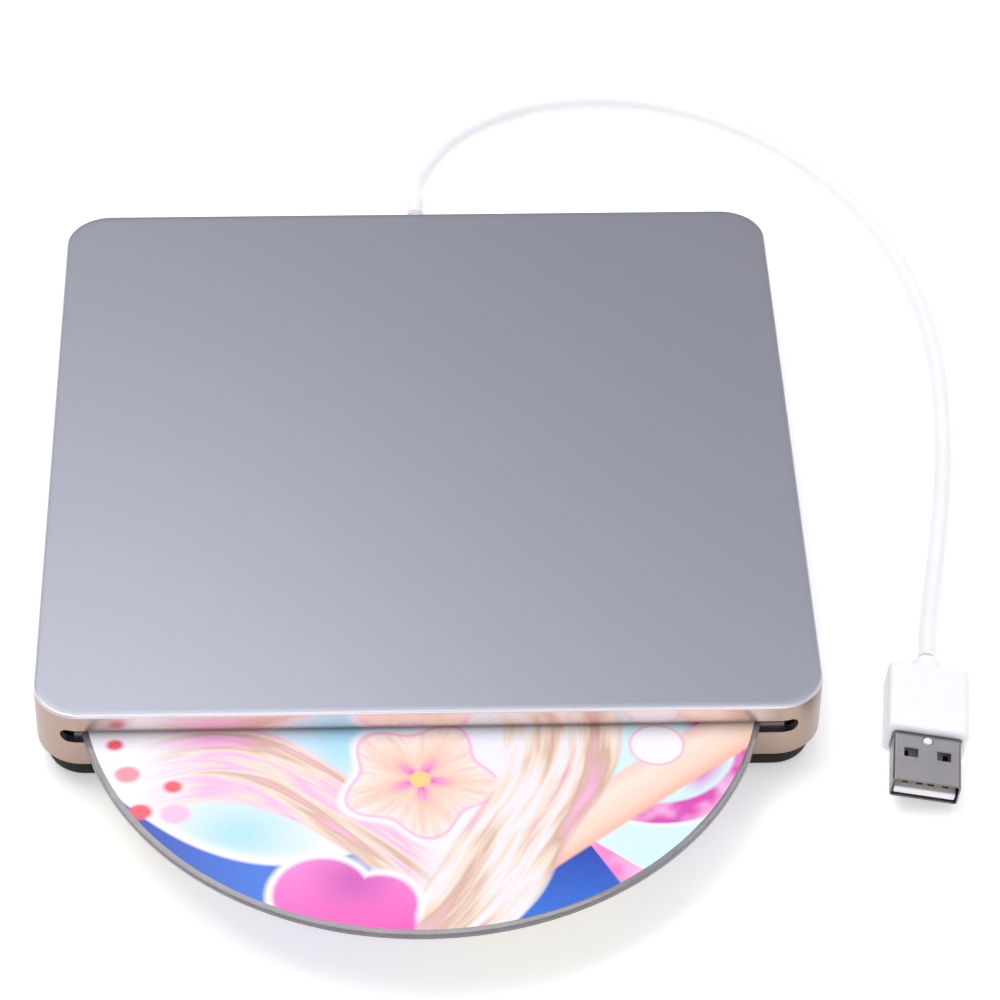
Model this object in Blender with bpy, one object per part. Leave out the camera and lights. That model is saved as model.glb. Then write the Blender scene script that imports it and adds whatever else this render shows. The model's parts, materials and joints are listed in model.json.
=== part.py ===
"""External slot-loading optical drive: case, loading mechanism, pickup unit, disc, cord and USB plug.

The origin is the centre of the underside, on the surface that the drive stands on. +Z is up, and the
disc slot faces -Y. Sizes below are in millimetres, and the mesh helpers turn them into metres.
"""

import math

import bmesh
import bpy
from mathutils import Matrix, Vector

MM = 0.001
GAP = 0.3
# How far a cutter passes a face, and how far a joined piece reaches into the other
OVERRUN = 1.0
BITE = 0.2

# Case
CASE_SIDE = 137.0
CASE_HEIGHT = 17.0
CASE_CORNER = 8.5
WALL = 1.5
ROOF = 1.2
SHELL_BOTTOM = 5.2
SHELL_FOOT_IN = 0.3
SHELL_FOOT_UP = 0.4
EDGE_IN = 0.6
EDGE_DOWN = 0.5
BASE_SIDE = 136.0
BASE_TAPER = 1.2
BASE_EDGE = 0.6
BASE_BOTTOM = 0.7
BASE_TOP = SHELL_BOTTOM - GAP
BASE_FLOOR = 2.4
RIM_SIDE = CASE_SIDE - 2 * WALL - 2 * GAP - 0.2
RIM_TOP = 6.4
RIM_THICK = 1.2
RIM_CORNER = 3.4
CATCH_Y = 34.0
CATCH_HALF = 5.0
PAD_SIDE = 124.0
PAD_CORNER = 6.0
PAD_EDGE = 0.2
PAD_TOP = BASE_BOTTOM - GAP

# Screws that hold the drive module to the base, head down
SCREW_PLACES = [(50.0, -57.5), (-50.0, -57.5), (34.0, 53.0), (-34.0, 53.0)]
HEAD_BOTTOM = 1.1
HEAD_TOP = 1.6
HEAD_R = 1.9
SHANK_R = 0.8
SHANK_TOP = 3.3
SHANK_HOLE_R = 1.1
HEAD_RECESS_R = 2.3
HEAD_RECESS_TOP = 1.9

# Slot and disc
SLOT_WIDTH = 127.6
SLOT_HEIGHT = 2.8
SLOT_Z = 12.1
DISC_R = 60.0
DISC_HOLE_R = 7.5
DISC_THICK = 1.2
DISC_X = -1.4
DISC_Y = -55.0
DISC_BOTTOM = 11.6
DISC_TOP = DISC_BOTTOM + DISC_THICK
FELT_HALF = 61.5
FELT_BOTTOM = 9.4
FELT_TOP = 15.1

# Drive module
MODULE_SIDE_X = 128.0
MODULE_FRONT = -65.0
MODULE_REAR = 60.6
MODULE_CORNER = 1.5
SHEET = 0.8
TRAY_BOTTOM = 2.7
TRAY_FLOOR = TRAY_BOTTOM + SHEET
TRAY_TOP = 9.6
COVER_TOP = 15.2
COVER_CEILING = 14.5
COVER_SLOT_HALF = 62.4
CLAMP_INNER = 9.0
CLAMP_OUTER = 14.0
GUIDE_HALF = 58.0

# Disc feed: rubber roller and its gear train, all axes along X
GEAR_MODULE = 0.4
GEAR_BACKLASH = 0.14
MESH_SLACK = 0.06
PRESSURE_ANGLE = math.radians(20)
ROLLER_TEETH = 18
IDLER_TEETH = 22
PINION_TEETH = 10
GEAR_X0 = 61.25
GEAR_X1 = 62.65
PLATE_X0 = 60.35
PLATE_X1 = 60.95
PLATE_FRONT = -63.4
PLATE_TOP = 11.2
ROLLER_Y = -59.5
ROLLER_Z = 8.2
IDLER_Z = 8.7
PINION_Z = 7.4
ROLLER_R = DISC_BOTTOM - GAP - ROLLER_Z
ROLLER_WAIST_R = 2.2
ROLLER_INNER = 20.0
ROLLER_OUTER = 58.0
AXLE_R = 1.0
STUD_R = 0.8
MOTOR_SHAFT_R = 0.7
MOTOR_X0 = 43.0
MOTOR_WIDTH = 9.0
MOTOR_THICK = 7.2

# Traverse: the plate that carries the spindle and the pickup
SPINDLE_X = DISC_X
SPINDLE_Y = -2.0
HINGE_Y = 56.0
HINGE_Z = 6.8
HINGE_PIN_R = 0.7
CHASSIS_HALF = 31.0
CHASSIS_FRONT = -24.0
CHASSIS_REAR = 57.5
CHASSIS_BOTTOM = 4.2
CHASSIS_TOP = 5.0
WINDOW_HALF = 17.0
WINDOW_FRONT = 12.5
WINDOW_REAR = 54.0
ROD_X = 20.0
ROD_Z = 7.0
ROD_R = 1.0
POST_TOP = 8.8
POST_FRONT = (10.0, 12.0)
POST_REAR = (55.6, 57.5)
GROMMET_R = 2.0
GROMMET_HALF = 1.0

# Cam slider that lifts the traverse by its two pins
PIN_Z = 5.6
PIN_R = 0.6
CAM_PINS = (-6.0, 13.0)
CAM_TRAVEL = 8.0
CAM_RISE = 2.16
CAM_SLOT = 2.0
CAM_Y0 = -27.5
CAM_Y1 = -26.2

# Pickup and its lead screw
SCREW_X = 25.8
SCREW_PITCH = 4.0
SCREW_CORE = 0.9
SCREW_CREST = 1.7
SCREW_NUT_Y = 17.0
THREAD_START = 12.6
THREAD_END = 54.6
JOURNAL_R = 0.7
SLED_HALF = 15.0
SLED_FRONT = 12.6
SLED_REAR = 26.0
LENS_Y = 22.5

# Lever that feels the disc's rear edge
LEVER_X = 50.0
LEVER_Y = 54.0
LEVER_BOTTOM = 11.2
LEVER_TOP = 13.0
LEVER_POST_R = 1.2

# Boards, and the pair of connectors that joins them
BOARD_BOTTOM = 4.4
BOARD_TOP = 5.6
CONNECTOR_X = -48.0
BLADE_HALF = 7.2

# Cord and plug
EXIT_Z = 8.4
EXIT_R = 2.6
CORD_R = 1.7
CORD_STEP = 7.0
CLEAR_OF_FLOOR = 0.05
RELIEF_END = 78.0
PLUG_WIDTH = 14.6
PLUG_THICK = 7.2
PLUG_LENGTH = 16.8
PLUG_EDGE = 0.7
PLUG_FRONT = (86.8, -66.0, 4.6)
PLUG_YAW = math.radians(-7.0)
PLUG_ROLL = math.radians(6.0)
BOOT_LENGTH = 3.6
SHELL_WIDTH = 12.0
SHELL_HEIGHT = 4.5
SHELL_OUT = 11.4
SHELL_WALL = 0.3
SHELL_CORNER = 0.6
WINDOW_X = 2.9
WINDOW_WIDTH = 2.4
WINDOW_Y0 = -5.7
WINDOW_Y1 = -3.4
TONGUE_HALF = 5.4
TONGUE_THICK = 1.5
CONTACT_X = (-3.5, -1.0, 1.0, 3.5)
CONTACT_HALF = 0.5
CONTACT_THICK = 0.15

# Points that the cord's centre passes through, from the strain relief to the plug's boot
CORD_ROUTE = [
    (0.0, RELIEF_END + GAP, EXIT_Z),
    (0.0, 82.6, 8.35),
    (-0.3, 87.5, 6.7),
    (0.3, 93.5, 4.0),
    (2.5, 101.5, 2.1),
    (7.2, 110.2, 1.75),
    (15.8, 117.9, 1.75),
    (27.3, 123.0, 1.75),
    (42.0, 124.4, 1.75),
    (56.6, 120.9, 1.75),
    (70.9, 112.4, 1.75),
    (83.3, 99.2, 1.75),
    (93.0, 82.4, 1.75),
    (98.7, 63.6, 1.75),
    (101.1, 43.0, 1.75),
    (100.4, 22.5, 1.75),
    (98.0, 2.5, 1.75),
    (94.6, -16.6, 1.75),
    (92.6, -26.5, 2.0),
    (90.8, -36.0, 3.1),
]


def material(name, colour, roughness, metallic=0.0):
    made = bpy.data.materials.new(name)
    made.use_nodes = True
    shader = made.node_tree.nodes["Principled BSDF"]
    shader.inputs["Base Color"].default_value = (*colour, 1.0)
    shader.inputs["Roughness"].default_value = roughness
    shader.inputs["Metallic"].default_value = metallic
    made.diffuse_color = (*colour, 1.0)
    return made


def finish(name, mesh, surface, origin=(0, 0, 0), smooth=False):
    """Object from a bmesh in millimetres, whose own origin sits at the given point."""
    bmesh.ops.recalc_face_normals(mesh, faces=mesh.faces)
    bmesh.ops.translate(mesh, vec=-Vector(origin), verts=mesh.verts)
    bmesh.ops.scale(mesh, vec=(MM, MM, MM), verts=mesh.verts)
    data = bpy.data.meshes.new(name)
    mesh.to_mesh(data)
    mesh.free()
    if smooth:
        data.shade_smooth()
        data.set_sharp_from_angle(angle=math.radians(35))
    made = bpy.data.objects.new(name, data)
    made.location = Vector(origin) * MM
    bpy.context.scene.collection.objects.link(made)
    if surface:
        data.materials.append(surface)
    return made


def lofted(rings, closed=False):
    """Solid through rings of equal length: capped at both ends, or joined back to the first ring."""
    mesh = bmesh.new()
    loops = [[mesh.verts.new(point) for point in ring] for ring in rings]
    pairs = list(zip(loops, loops[1:]))
    if closed:
        pairs.append((loops[-1], loops[0]))
    for low, high in pairs:
        for i in range(len(low)):
            j = (i + 1) % len(low)
            mesh.faces.new((low[i], low[j], high[j], high[i]))
    if not closed:
        mesh.faces.new(loops[0])
        mesh.faces.new(loops[-1])
    return mesh


def rounded(width, depth, radius, steps=6):
    """Outline of a rectangle with round corners, centred on zero."""
    points = []
    corners = ((1, 1, 0), (-1, 1, 90), (-1, -1, 180), (1, -1, 270))
    for sign_x, sign_y, start in corners:
        for step in range(steps + 1):
            angle = math.radians(start + 90 * step / steps)
            x = sign_x * (width / 2 - radius) + radius * math.cos(angle)
            y = sign_y * (depth / 2 - radius) + radius * math.sin(angle)
            points.append((x, y))
    return points


def flat_ring(outline, z, centre=(0, 0)):
    return [(x + centre[0], y + centre[1], z) for x, y in outline]


def side_ring(outline, x, centre):
    """The outline's two axes laid along Y and Z, at one x."""
    return [(x, u + centre[0], v + centre[1]) for u, v in outline]


def front_ring(outline, y, centre):
    """The outline's two axes laid along X and Z, at one y."""
    return [(u + centre[0], y, v + centre[1]) for u, v in outline]


def box_mesh(low, high):
    (x0, y0, z0), (x1, y1, z1) = low, high
    base = [(x0, y0), (x1, y0), (x1, y1), (x0, y1)]
    return lofted([flat_ring(base, z0), flat_ring(base, z1)])


def box(name, low, high, surface, origin=(0, 0, 0)):
    return finish(name, box_mesh(low, high), surface, origin)


def turned_mesh(profile, centre, axis="Z", sides=24, open_profile=False):
    """Profile of (radius, height) turned round an axis. An open one starts and ends at radius zero."""
    turn = {
        "X": Matrix.Rotation(math.radians(90), 3, "Y"),
        "Y": Matrix.Rotation(math.radians(-90), 3, "X"),
        "Z": Matrix.Identity(3),
    }[axis]
    rings = []
    for radius, height in profile:
        ring = []
        for side in range(sides):
            angle = 2 * math.pi * side / sides
            spot = Vector((radius * math.cos(angle), radius * math.sin(angle), height))
            ring.append(turn @ spot + Vector(centre))
        rings.append(ring)
    return lofted(rings, closed=not open_profile)


def tube_profile(inner, outer, low, high):
    return [(inner, low), (outer, low), (outer, high), (inner, high)]


def rod_profile(radius, low, high):
    return [(radius, low), (radius, high)]


def hidden(mesh, name):
    """Helper solid for a Boolean, which is no piece of its own."""
    helper = finish(name, mesh, None)
    helper.hide_render = True
    helper.display_type = "WIRE"
    return helper


def boolean(target, mesh, operation):
    label = f"{target.name}_{operation.lower()}_{len(target.modifiers)}"
    change = target.modifiers.new(label, "BOOLEAN")
    change.operation = operation
    change.object = hidden(mesh, label)


def cut(target, mesh):
    boolean(target, mesh, "DIFFERENCE")


def join(target, mesh):
    boolean(target, mesh, "UNION")


def involute(angle):
    return math.tan(angle) - angle


def gear_outline(teeth, phase):
    """Involute outline, with a tooth centred on the phase angle."""
    pitch = GEAR_MODULE * teeth / 2
    base = pitch * math.cos(PRESSURE_ANGLE)
    tip = pitch + GEAR_MODULE
    root = pitch - 1.25 * GEAR_MODULE
    half_pitch_tooth = math.pi / (2 * teeth) - GEAR_BACKLASH / (2 * pitch)
    half_base_tooth = half_pitch_tooth + involute(PRESSURE_ANGLE)
    flank = [(root, half_base_tooth), (max(base, root), half_base_tooth)]
    for share in (0.4, 0.7, 1.0):
        radius = base + share * (tip - base)
        half = half_base_tooth - involute(math.acos(base / radius))
        flank.append((radius, half))
    if root >= base:
        flank.pop(0)
    points = []
    for tooth in range(teeth):
        middle = phase + 2 * math.pi * tooth / teeth
        for radius, half in flank:
            points.append((radius * math.cos(middle - half), radius * math.sin(middle - half)))
        for radius, half in reversed(flank):
            points.append((radius * math.cos(middle + half), radius * math.sin(middle + half)))
    return points


def gear(name, teeth, phase, centre, bore, surface):
    """Spur gear between GEAR_X0 and GEAR_X1, turning about X through the centre (y, z)."""
    outline = gear_outline(teeth, phase)
    ends = [side_ring(outline, GEAR_X0, centre), side_ring(outline, GEAR_X1, centre)]
    made = finish(name, lofted(ends), surface, (GEAR_X0, *centre))
    if bore:
        hole = rod_profile(bore, GEAR_X0 - OVERRUN, GEAR_X1 + OVERRUN)
        cut(made, turned_mesh(hole, (0, *centre), "X", 16, True))
    return made


def mesh_distance(teeth_a, teeth_b):
    return GEAR_MODULE * (teeth_a + teeth_b) / 2 + MESH_SLACK


def behind(y, z, other_z, distance):
    """The y, further back, of a centre at other_z that lies a distance away from (y, z)."""
    return y + math.sqrt(distance**2 - (other_z - z) ** 2)


def case(metal, black, rubber):
    inner = CASE_SIDE - 2 * WALL
    foot = CASE_SIDE - 2 * SHELL_FOOT_IN
    top = CASE_SIDE - 2 * EDGE_IN
    shell_spots = [
        (inner, CASE_CORNER - WALL, CASE_HEIGHT - ROOF),
        (inner, CASE_CORNER - WALL, SHELL_BOTTOM),
        (foot, CASE_CORNER - SHELL_FOOT_IN, SHELL_BOTTOM),
        (CASE_SIDE, CASE_CORNER, SHELL_BOTTOM + SHELL_FOOT_UP),
        (CASE_SIDE, CASE_CORNER, CASE_HEIGHT - EDGE_DOWN),
        (top, CASE_CORNER - EDGE_IN, CASE_HEIGHT),
    ]
    shell = finish("top_shell", lofted(square_rings(shell_spots)), metal, smooth=True)
    slot = rounded(SLOT_WIDTH, SLOT_HEIGHT, SLOT_HEIGHT / 2)
    front = -CASE_SIDE / 2
    reach = (front - OVERRUN, front + WALL + OVERRUN)
    cut(shell, lofted([front_ring(slot, y, (0, SLOT_Z)) for y in reach]))
    exit_hole = rod_profile(EXIT_R, -WALL - OVERRUN, OVERRUN)
    cut(shell, turned_mesh(exit_hole, (0, CASE_SIDE / 2, EXIT_Z), "Y", 20, True))

    base_corner = CASE_CORNER - (CASE_SIDE - BASE_SIDE) / 2
    rim_inner = RIM_SIDE - 2 * RIM_THICK
    rim_corner = CASE_CORNER - WALL - GAP
    foot = BASE_SIDE - 2 * BASE_TAPER
    base_spots = [
        (foot - 2 * BASE_EDGE, base_corner - BASE_TAPER - BASE_EDGE, BASE_BOTTOM),
        (foot, base_corner - BASE_TAPER, BASE_BOTTOM + BASE_EDGE),
        (BASE_SIDE, base_corner, BASE_TOP),
        (RIM_SIDE, rim_corner, BASE_TOP),
        (RIM_SIDE, rim_corner, RIM_TOP),
        (rim_inner, RIM_CORNER, RIM_TOP),
        (rim_inner, RIM_CORNER, BASE_FLOOR),
    ]
    base = finish("base_cover", lofted(square_rings(base_spots)), black, smooth=True)
    header_notch = ((-4.2, 62.0, BASE_TOP), (4.2, 68.0, RIM_TOP + OVERRUN))
    cut(base, box_mesh(*header_notch))
    for side in (-1, 1):
        for middle in (-CATCH_Y, CATCH_Y):
            join(base, catch_mesh(side, middle, rim_inner / 2 + 0.1, RIM_SIDE / 2 - 0.1))
    for x, y in SCREW_PLACES:
        for radius, top in ((HEAD_RECESS_R, HEAD_RECESS_TOP), (SHANK_HOLE_R, BASE_FLOOR + OVERRUN)):
            hole = rod_profile(radius, BASE_BOTTOM - OVERRUN, top)
            cut(base, turned_mesh(hole, (x, y, 0), "Z", 20, True))

    pad_spots = [
        (PAD_SIDE - 2 * PAD_EDGE, PAD_CORNER - PAD_EDGE, 0.0),
        (PAD_SIDE, PAD_CORNER, PAD_EDGE),
        (PAD_SIDE, PAD_CORNER, PAD_TOP),
    ]
    finish("base_pad", lofted(square_rings(pad_spots)), rubber)


def square_rings(spots):
    """Rings of rounded squares, each given as (side, corner radius, z)."""
    return [flat_ring(rounded(side, side, corner), z) for side, corner, z in spots]


def catch_mesh(side, middle, low, high):
    """Catch on the base's rim, with a sloping lip that snaps against the shell's wall."""
    outline = [(low, 5.5), (high, 5.5), (high, 8.0), (high + 0.2, 8.4), (high, 9.4), (low, 9.4)]
    ends = (middle - CATCH_HALF, middle + CATCH_HALF)
    return lofted([[(side * x, y, z) for x, z in outline] for y in ends])


def drive_screws(steel):
    profile = [(HEAD_R - 0.5, HEAD_BOTTOM), (HEAD_R, HEAD_BOTTOM + 0.2), (HEAD_R, HEAD_TOP)]
    profile += [(SHANK_R, HEAD_TOP), (SHANK_R, SHANK_TOP)]
    long, short = 1.0, 0.2
    low, high = HEAD_BOTTOM - BITE, HEAD_BOTTOM + 0.25
    for number, (x, y) in enumerate(SCREW_PLACES, 1):
        mesh = turned_mesh(profile, (x, y, 0), "Z", 16, True)
        screw = finish(f"drive_screw_{number}", mesh, steel, (x, y, 0), True)
        for half_x, half_y in ((long, short), (short, long)):
            cut(screw, box_mesh((x - half_x, y - half_y, low), (x + half_x, y + half_y, high)))


def slot_felts(felt):
    """Dust felts behind the slot, one above the disc's path and one below."""
    back, front = MODULE_FRONT - GAP, -CASE_SIDE / 2 + WALL + GAP
    for name, bottom, top in (
        ("slot_felt_lower", FELT_BOTTOM, DISC_BOTTOM - GAP),
        ("slot_felt_upper", DISC_TOP + GAP, FELT_TOP),
    ):
        box(name, (-FELT_HALF, front, bottom), (FELT_HALF, back, top), felt)


def drive_frame(sheet, plastic):
    depth = MODULE_REAR - MODULE_FRONT
    centre = (0, (MODULE_REAR + MODULE_FRONT) / 2)
    outer = rounded(MODULE_SIDE_X, depth, MODULE_CORNER, 3)
    inner = rounded(MODULE_SIDE_X - 2 * SHEET, depth - 2 * SHEET, MODULE_CORNER - SHEET, 3)
    rings = [
        flat_ring(outer, TRAY_BOTTOM, centre),
        flat_ring(outer, TRAY_TOP, centre),
        flat_ring(inner, TRAY_TOP, centre),
        flat_ring(inner, TRAY_FLOOR, centre),
    ]
    tray = finish("drive_tray", lofted(rings), sheet)
    lug_y, lug_top = (HINGE_Y - 3.6, HINGE_Y + 3.4), HINGE_Z + 2.6
    for side in (-1, 1):
        x0, x1 = sorted((side * (CHASSIS_HALF + 1.4), side * (CHASSIS_HALF + 2.6)))
        join(tray, box_mesh((x0, lug_y[0], TRAY_FLOOR - BITE), (x1, lug_y[1], lug_top)))
        hole = rod_profile(GROMMET_R + GAP, -3, 3)
        cut(tray, turned_mesh(hole, ((x0 + x1) / 2, HINGE_Y, HINGE_Z), "X", 16, True))
    step = LEVER_BOTTOM - GAP
    post = [(2.4, TRAY_FLOOR - BITE), (2.4, step), (LEVER_POST_R, step), (LEVER_POST_R, 13.6)]
    join(tray, turned_mesh(post, (LEVER_X, LEVER_Y, 0), "Z", 16, True))
    for x, y in SCREW_PLACES:
        hole = rod_profile(SHANK_HOLE_R, TRAY_BOTTOM - OVERRUN, TRAY_FLOOR + OVERRUN)
        cut(tray, turned_mesh(hole, (x, y, 0), "Z", 16, True))
    notch = BLADE_HALF + 1.2
    low, high = (CONNECTOR_X - notch, 59.0, 4.8), (CONNECTOR_X + notch, 62.0, 7.2)
    cut(tray, box_mesh(low, high))

    rings = [
        flat_ring(outer, COVER_TOP, centre),
        flat_ring(outer, TRAY_TOP + GAP, centre),
        flat_ring(inner, TRAY_TOP + GAP, centre),
        flat_ring(inner, COVER_CEILING, centre),
    ]
    cover = finish("drive_cover", lofted(rings), sheet)
    low = (-COVER_SLOT_HALF, MODULE_FRONT - OVERRUN, DISC_BOTTOM - 0.6)
    cut(cover, box_mesh(low, (COVER_SLOT_HALF, MODULE_FRONT + 1.5, DISC_TOP + 0.6)))
    ring = tube_profile(CLAMP_INNER, CLAMP_OUTER, DISC_TOP + 0.5, COVER_CEILING + BITE)
    join(cover, turned_mesh(ring, (SPINDLE_X, SPINDLE_Y, 0), "Z", 32))

    top, bottom = COVER_CEILING - GAP, DISC_TOP + GAP
    guide = [(-63.8, top), (-63.8, top - 0.3), (-62.0, bottom), (-57.0, bottom), (-56.0, top)]
    ends = [[(x, y, z) for y, z in guide] for x in (-GUIDE_HALF, GUIDE_HALF)]
    finish("disc_guide", lofted(ends), plastic)


def disc_piece(polycarbonate):
    profile = tube_profile(DISC_HOLE_R, DISC_R, DISC_BOTTOM, DISC_TOP)
    mesh = turned_mesh(profile, (DISC_X, DISC_Y, 0), "Z", 96)
    finish("disc", mesh, polycarbonate, (DISC_X, DISC_Y, DISC_BOTTOM), True)


def disc_feed(steel, rubber, gear_plastic, can):
    """Roller under the disc, driven by the motor through an idler."""
    idler_y = behind(ROLLER_Y, ROLLER_Z, IDLER_Z, mesh_distance(ROLLER_TEETH, IDLER_TEETH))
    pinion_y = behind(idler_y, IDLER_Z, PINION_Z, mesh_distance(IDLER_TEETH, PINION_TEETH))
    axis = (0, ROLLER_Y, ROLLER_Z)
    shaft_end = GEAR_X1 + 0.25
    shaft = turned_mesh(rod_profile(AXLE_R, -61.6, shaft_end), axis, "X", 16, True)
    finish("roller_shaft", shaft, steel, axis, True)
    for name, side in (("left", -1), ("right", 1)):
        inner, outer = sorted((ROLLER_INNER * side, ROLLER_OUTER * side))
        radii = (ROLLER_R, ROLLER_WAIST_R) if side < 0 else (ROLLER_WAIST_R, ROLLER_R)
        bore = AXLE_R + GAP
        profile = [(bore, inner), (radii[0], inner), (radii[1], outer), (bore, outer)]
        finish(f"roller_{name}", turned_mesh(profile, axis, "X", 20), rubber, axis, True)

    # A tooth of the roller gear points at the idler, whose gap faces it. The idler does the same
    # to the pinion.
    to_idler = math.atan2(IDLER_Z - ROLLER_Z, idler_y - ROLLER_Y)
    gear("roller_gear", ROLLER_TEETH, to_idler, (ROLLER_Y, ROLLER_Z), AXLE_R + 0.2, gear_plastic)
    idler_phase = to_idler + math.pi + math.pi / IDLER_TEETH
    gear("idler_gear", IDLER_TEETH, idler_phase, (idler_y, IDLER_Z), STUD_R + GAP, gear_plastic)
    to_pinion = math.atan2(PINION_Z - IDLER_Z, pinion_y - idler_y)
    idler_turns = (to_pinion - idler_phase) * IDLER_TEETH / (2 * math.pi)
    tooth_offset = (idler_turns - round(idler_turns)) * 2 * math.pi / PINION_TEETH
    pinion_phase = to_pinion + math.pi + math.pi / PINION_TEETH + tooth_offset
    pinion = gear("motor_pinion", PINION_TEETH, pinion_phase, (pinion_y, PINION_Z), None, steel)
    motor_shaft = rod_profile(MOTOR_SHAFT_R, 56.5, GEAR_X0 + BITE)
    join(pinion, turned_mesh(motor_shaft, (0, pinion_y, PINION_Z), "X", 12, True))

    outline = rounded(MOTOR_WIDTH, MOTOR_THICK, 2.6, 4)
    ends = [side_ring(outline, x, (pinion_y, PINION_Z)) for x in (MOTOR_X0, PLATE_X0 - GAP)]
    motor = finish("loading_motor", lofted(ends), can, smooth=True)
    shaft_hole = rod_profile(MOTOR_SHAFT_R + GAP, 55.5, PLATE_X1)
    cut(motor, turned_mesh(shaft_hole, (0, pinion_y, PINION_Z), "X", 12, True))

    bottom = TRAY_FLOOR + GAP
    far = pinion_y + MOTOR_WIDTH / 2 + 0.1
    right = box("feed_bracket_right", (PLATE_X0, PLATE_FRONT, bottom), (PLATE_X1, far, PLATE_TOP), steel)
    join(right, box_mesh((58.6, -54.0, bottom), (PLATE_X1 - 0.1, -50.6, bottom + 0.6)))
    stud = rod_profile(STUD_R, PLATE_X1 - BITE, shaft_end)
    join(right, turned_mesh(stud, (0, idler_y, IDLER_Z), "X", 12, True))
    left = box("feed_bracket_left", (-PLATE_X1, PLATE_FRONT, bottom), (-PLATE_X0, -54.0, PLATE_TOP), steel)
    holes = (
        (right, 1, AXLE_R + GAP, ROLLER_Y, ROLLER_Z),
        (right, 1, MOTOR_SHAFT_R + 0.4, pinion_y, PINION_Z),
        (left, -1, AXLE_R + GAP, ROLLER_Y, ROLLER_Z),
    )
    for bracket, side, radius, y, z in holes:
        ends = sorted((side * (PLATE_X0 - OVERRUN), side * (PLATE_X1 + OVERRUN)))
        cut(bracket, turned_mesh(rod_profile(radius, *ends), (0, y, z), "X", 16, True))


def traverse(sheet, steel, rubber, plastic):
    hinge = (0, HINGE_Y, HINGE_Z)
    low = (-CHASSIS_HALF, CHASSIS_FRONT, CHASSIS_BOTTOM)
    chassis = box("traverse_chassis", low, (CHASSIS_HALF, CHASSIS_REAR, CHASSIS_TOP), sheet, hinge)
    under, over = CHASSIS_BOTTOM - OVERRUN, CHASSIS_TOP + OVERRUN
    cut(chassis, box_mesh((-WINDOW_HALF, WINDOW_FRONT, under), (WINDOW_HALF, WINDOW_REAR, over)))
    cut(chassis, box_mesh((SCREW_X - 3.4, -8.0, under), (SCREW_X + 3.4, 9.6, over)))
    root = CHASSIS_TOP - BITE
    near, far = ROD_X - 2, ROD_X + 2
    posts = [(-far, -near, POST_FRONT), (near, far, POST_FRONT)]
    posts += [(-far, -near, POST_REAR), (near, SCREW_X + 2.8, POST_REAR)]
    for x0, x1, (y0, y1) in posts:
        join(chassis, box_mesh((x0, y0, root), (x1, y1, POST_TOP)))
    for side in (-1, 1):
        x0, x1 = sorted((side * (CHASSIS_HALF - 1.4), side * CHASSIS_HALF))
        join(chassis, box_mesh((x0, HINGE_Y - 2.6, root), (x1, CHASSIS_REAR, HINGE_Z + 1.8)))
        x0, x1 = sorted((side * (CHASSIS_HALF - 0.6), side * (CHASSIS_HALF + 3.0)))
        join(chassis, turned_mesh(rod_profile(HINGE_PIN_R, x0, x1), hinge, "X", 12, True))
    rod_hole = rod_profile(ROD_R + GAP, POST_FRONT[0] - OVERRUN, CHASSIS_REAR + OVERRUN)
    for x in (-ROD_X, ROD_X):
        cut(chassis, turned_mesh(rod_hole, (x, 0, ROD_Z), "Y", 16, True))
    journal_hole = rod_profile(JOURNAL_R + GAP, POST_REAR[0] - OVERRUN, CHASSIS_REAR + OVERRUN)
    cut(chassis, turned_mesh(journal_hole, (SCREW_X, 0, ROD_Z), "Y", 16, True))
    lip = ((-17.0, CHASSIS_FRONT - 0.6, CHASSIS_BOTTOM), (17.0, CHASSIS_FRONT + BITE, 7.2))
    join(chassis, box_mesh(*lip))
    pin = rod_profile(PIN_R, CAM_Y0 - 0.5, CHASSIS_FRONT - 0.4)
    for x in CAM_PINS:
        join(chassis, turned_mesh(pin, (x, 0, PIN_Z), "Y", 12, True))

    rod_ends = rod_profile(ROD_R, POST_FRONT[0] - 0.4, CHASSIS_REAR + 0.3)
    for name, side in (("left", -1), ("right", 1)):
        rod = turned_mesh(rod_ends, (side * ROD_X, 0, ROD_Z), "Y", 16, True)
        finish(f"guide_rod_{name}", rod, steel, (side * ROD_X, HINGE_Y, ROD_Z), True)
        centre = (side * (CHASSIS_HALF + 2.0), HINGE_Y, HINGE_Z)
        profile = tube_profile(HINGE_PIN_R + GAP, GROMMET_R, -GROMMET_HALF, GROMMET_HALF)
        finish(f"pivot_grommet_{name}", turned_mesh(profile, centre, "X", 16), rubber, centre, True)

    # The slider's sloping slots lift the chassis pins as it moves towards +X
    cam = box("cam_slider", (-18.0, CAM_Y0, 4.0), (18.0, CAM_Y1, 9.4), plastic)
    slope = math.atan2(CAM_RISE, -CAM_TRAVEL)
    length = math.hypot(CAM_TRAVEL, CAM_RISE)
    along = Vector((math.cos(slope), 0, math.sin(slope)))
    across = Vector((-along.z, 0, along.x))
    outline = rounded(length + CAM_SLOT, CAM_SLOT, CAM_SLOT / 2, 4)
    for x in CAM_PINS:
        middle = Vector((x, 0, PIN_Z)) + along * length / 2
        ends = []
        for y in (CAM_Y0 - OVERRUN, CAM_Y1 + OVERRUN):
            ends.append([middle + along * u + across * v + Vector((0, y, 0)) for u, v in outline])
        cut(cam, lofted(ends))


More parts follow.
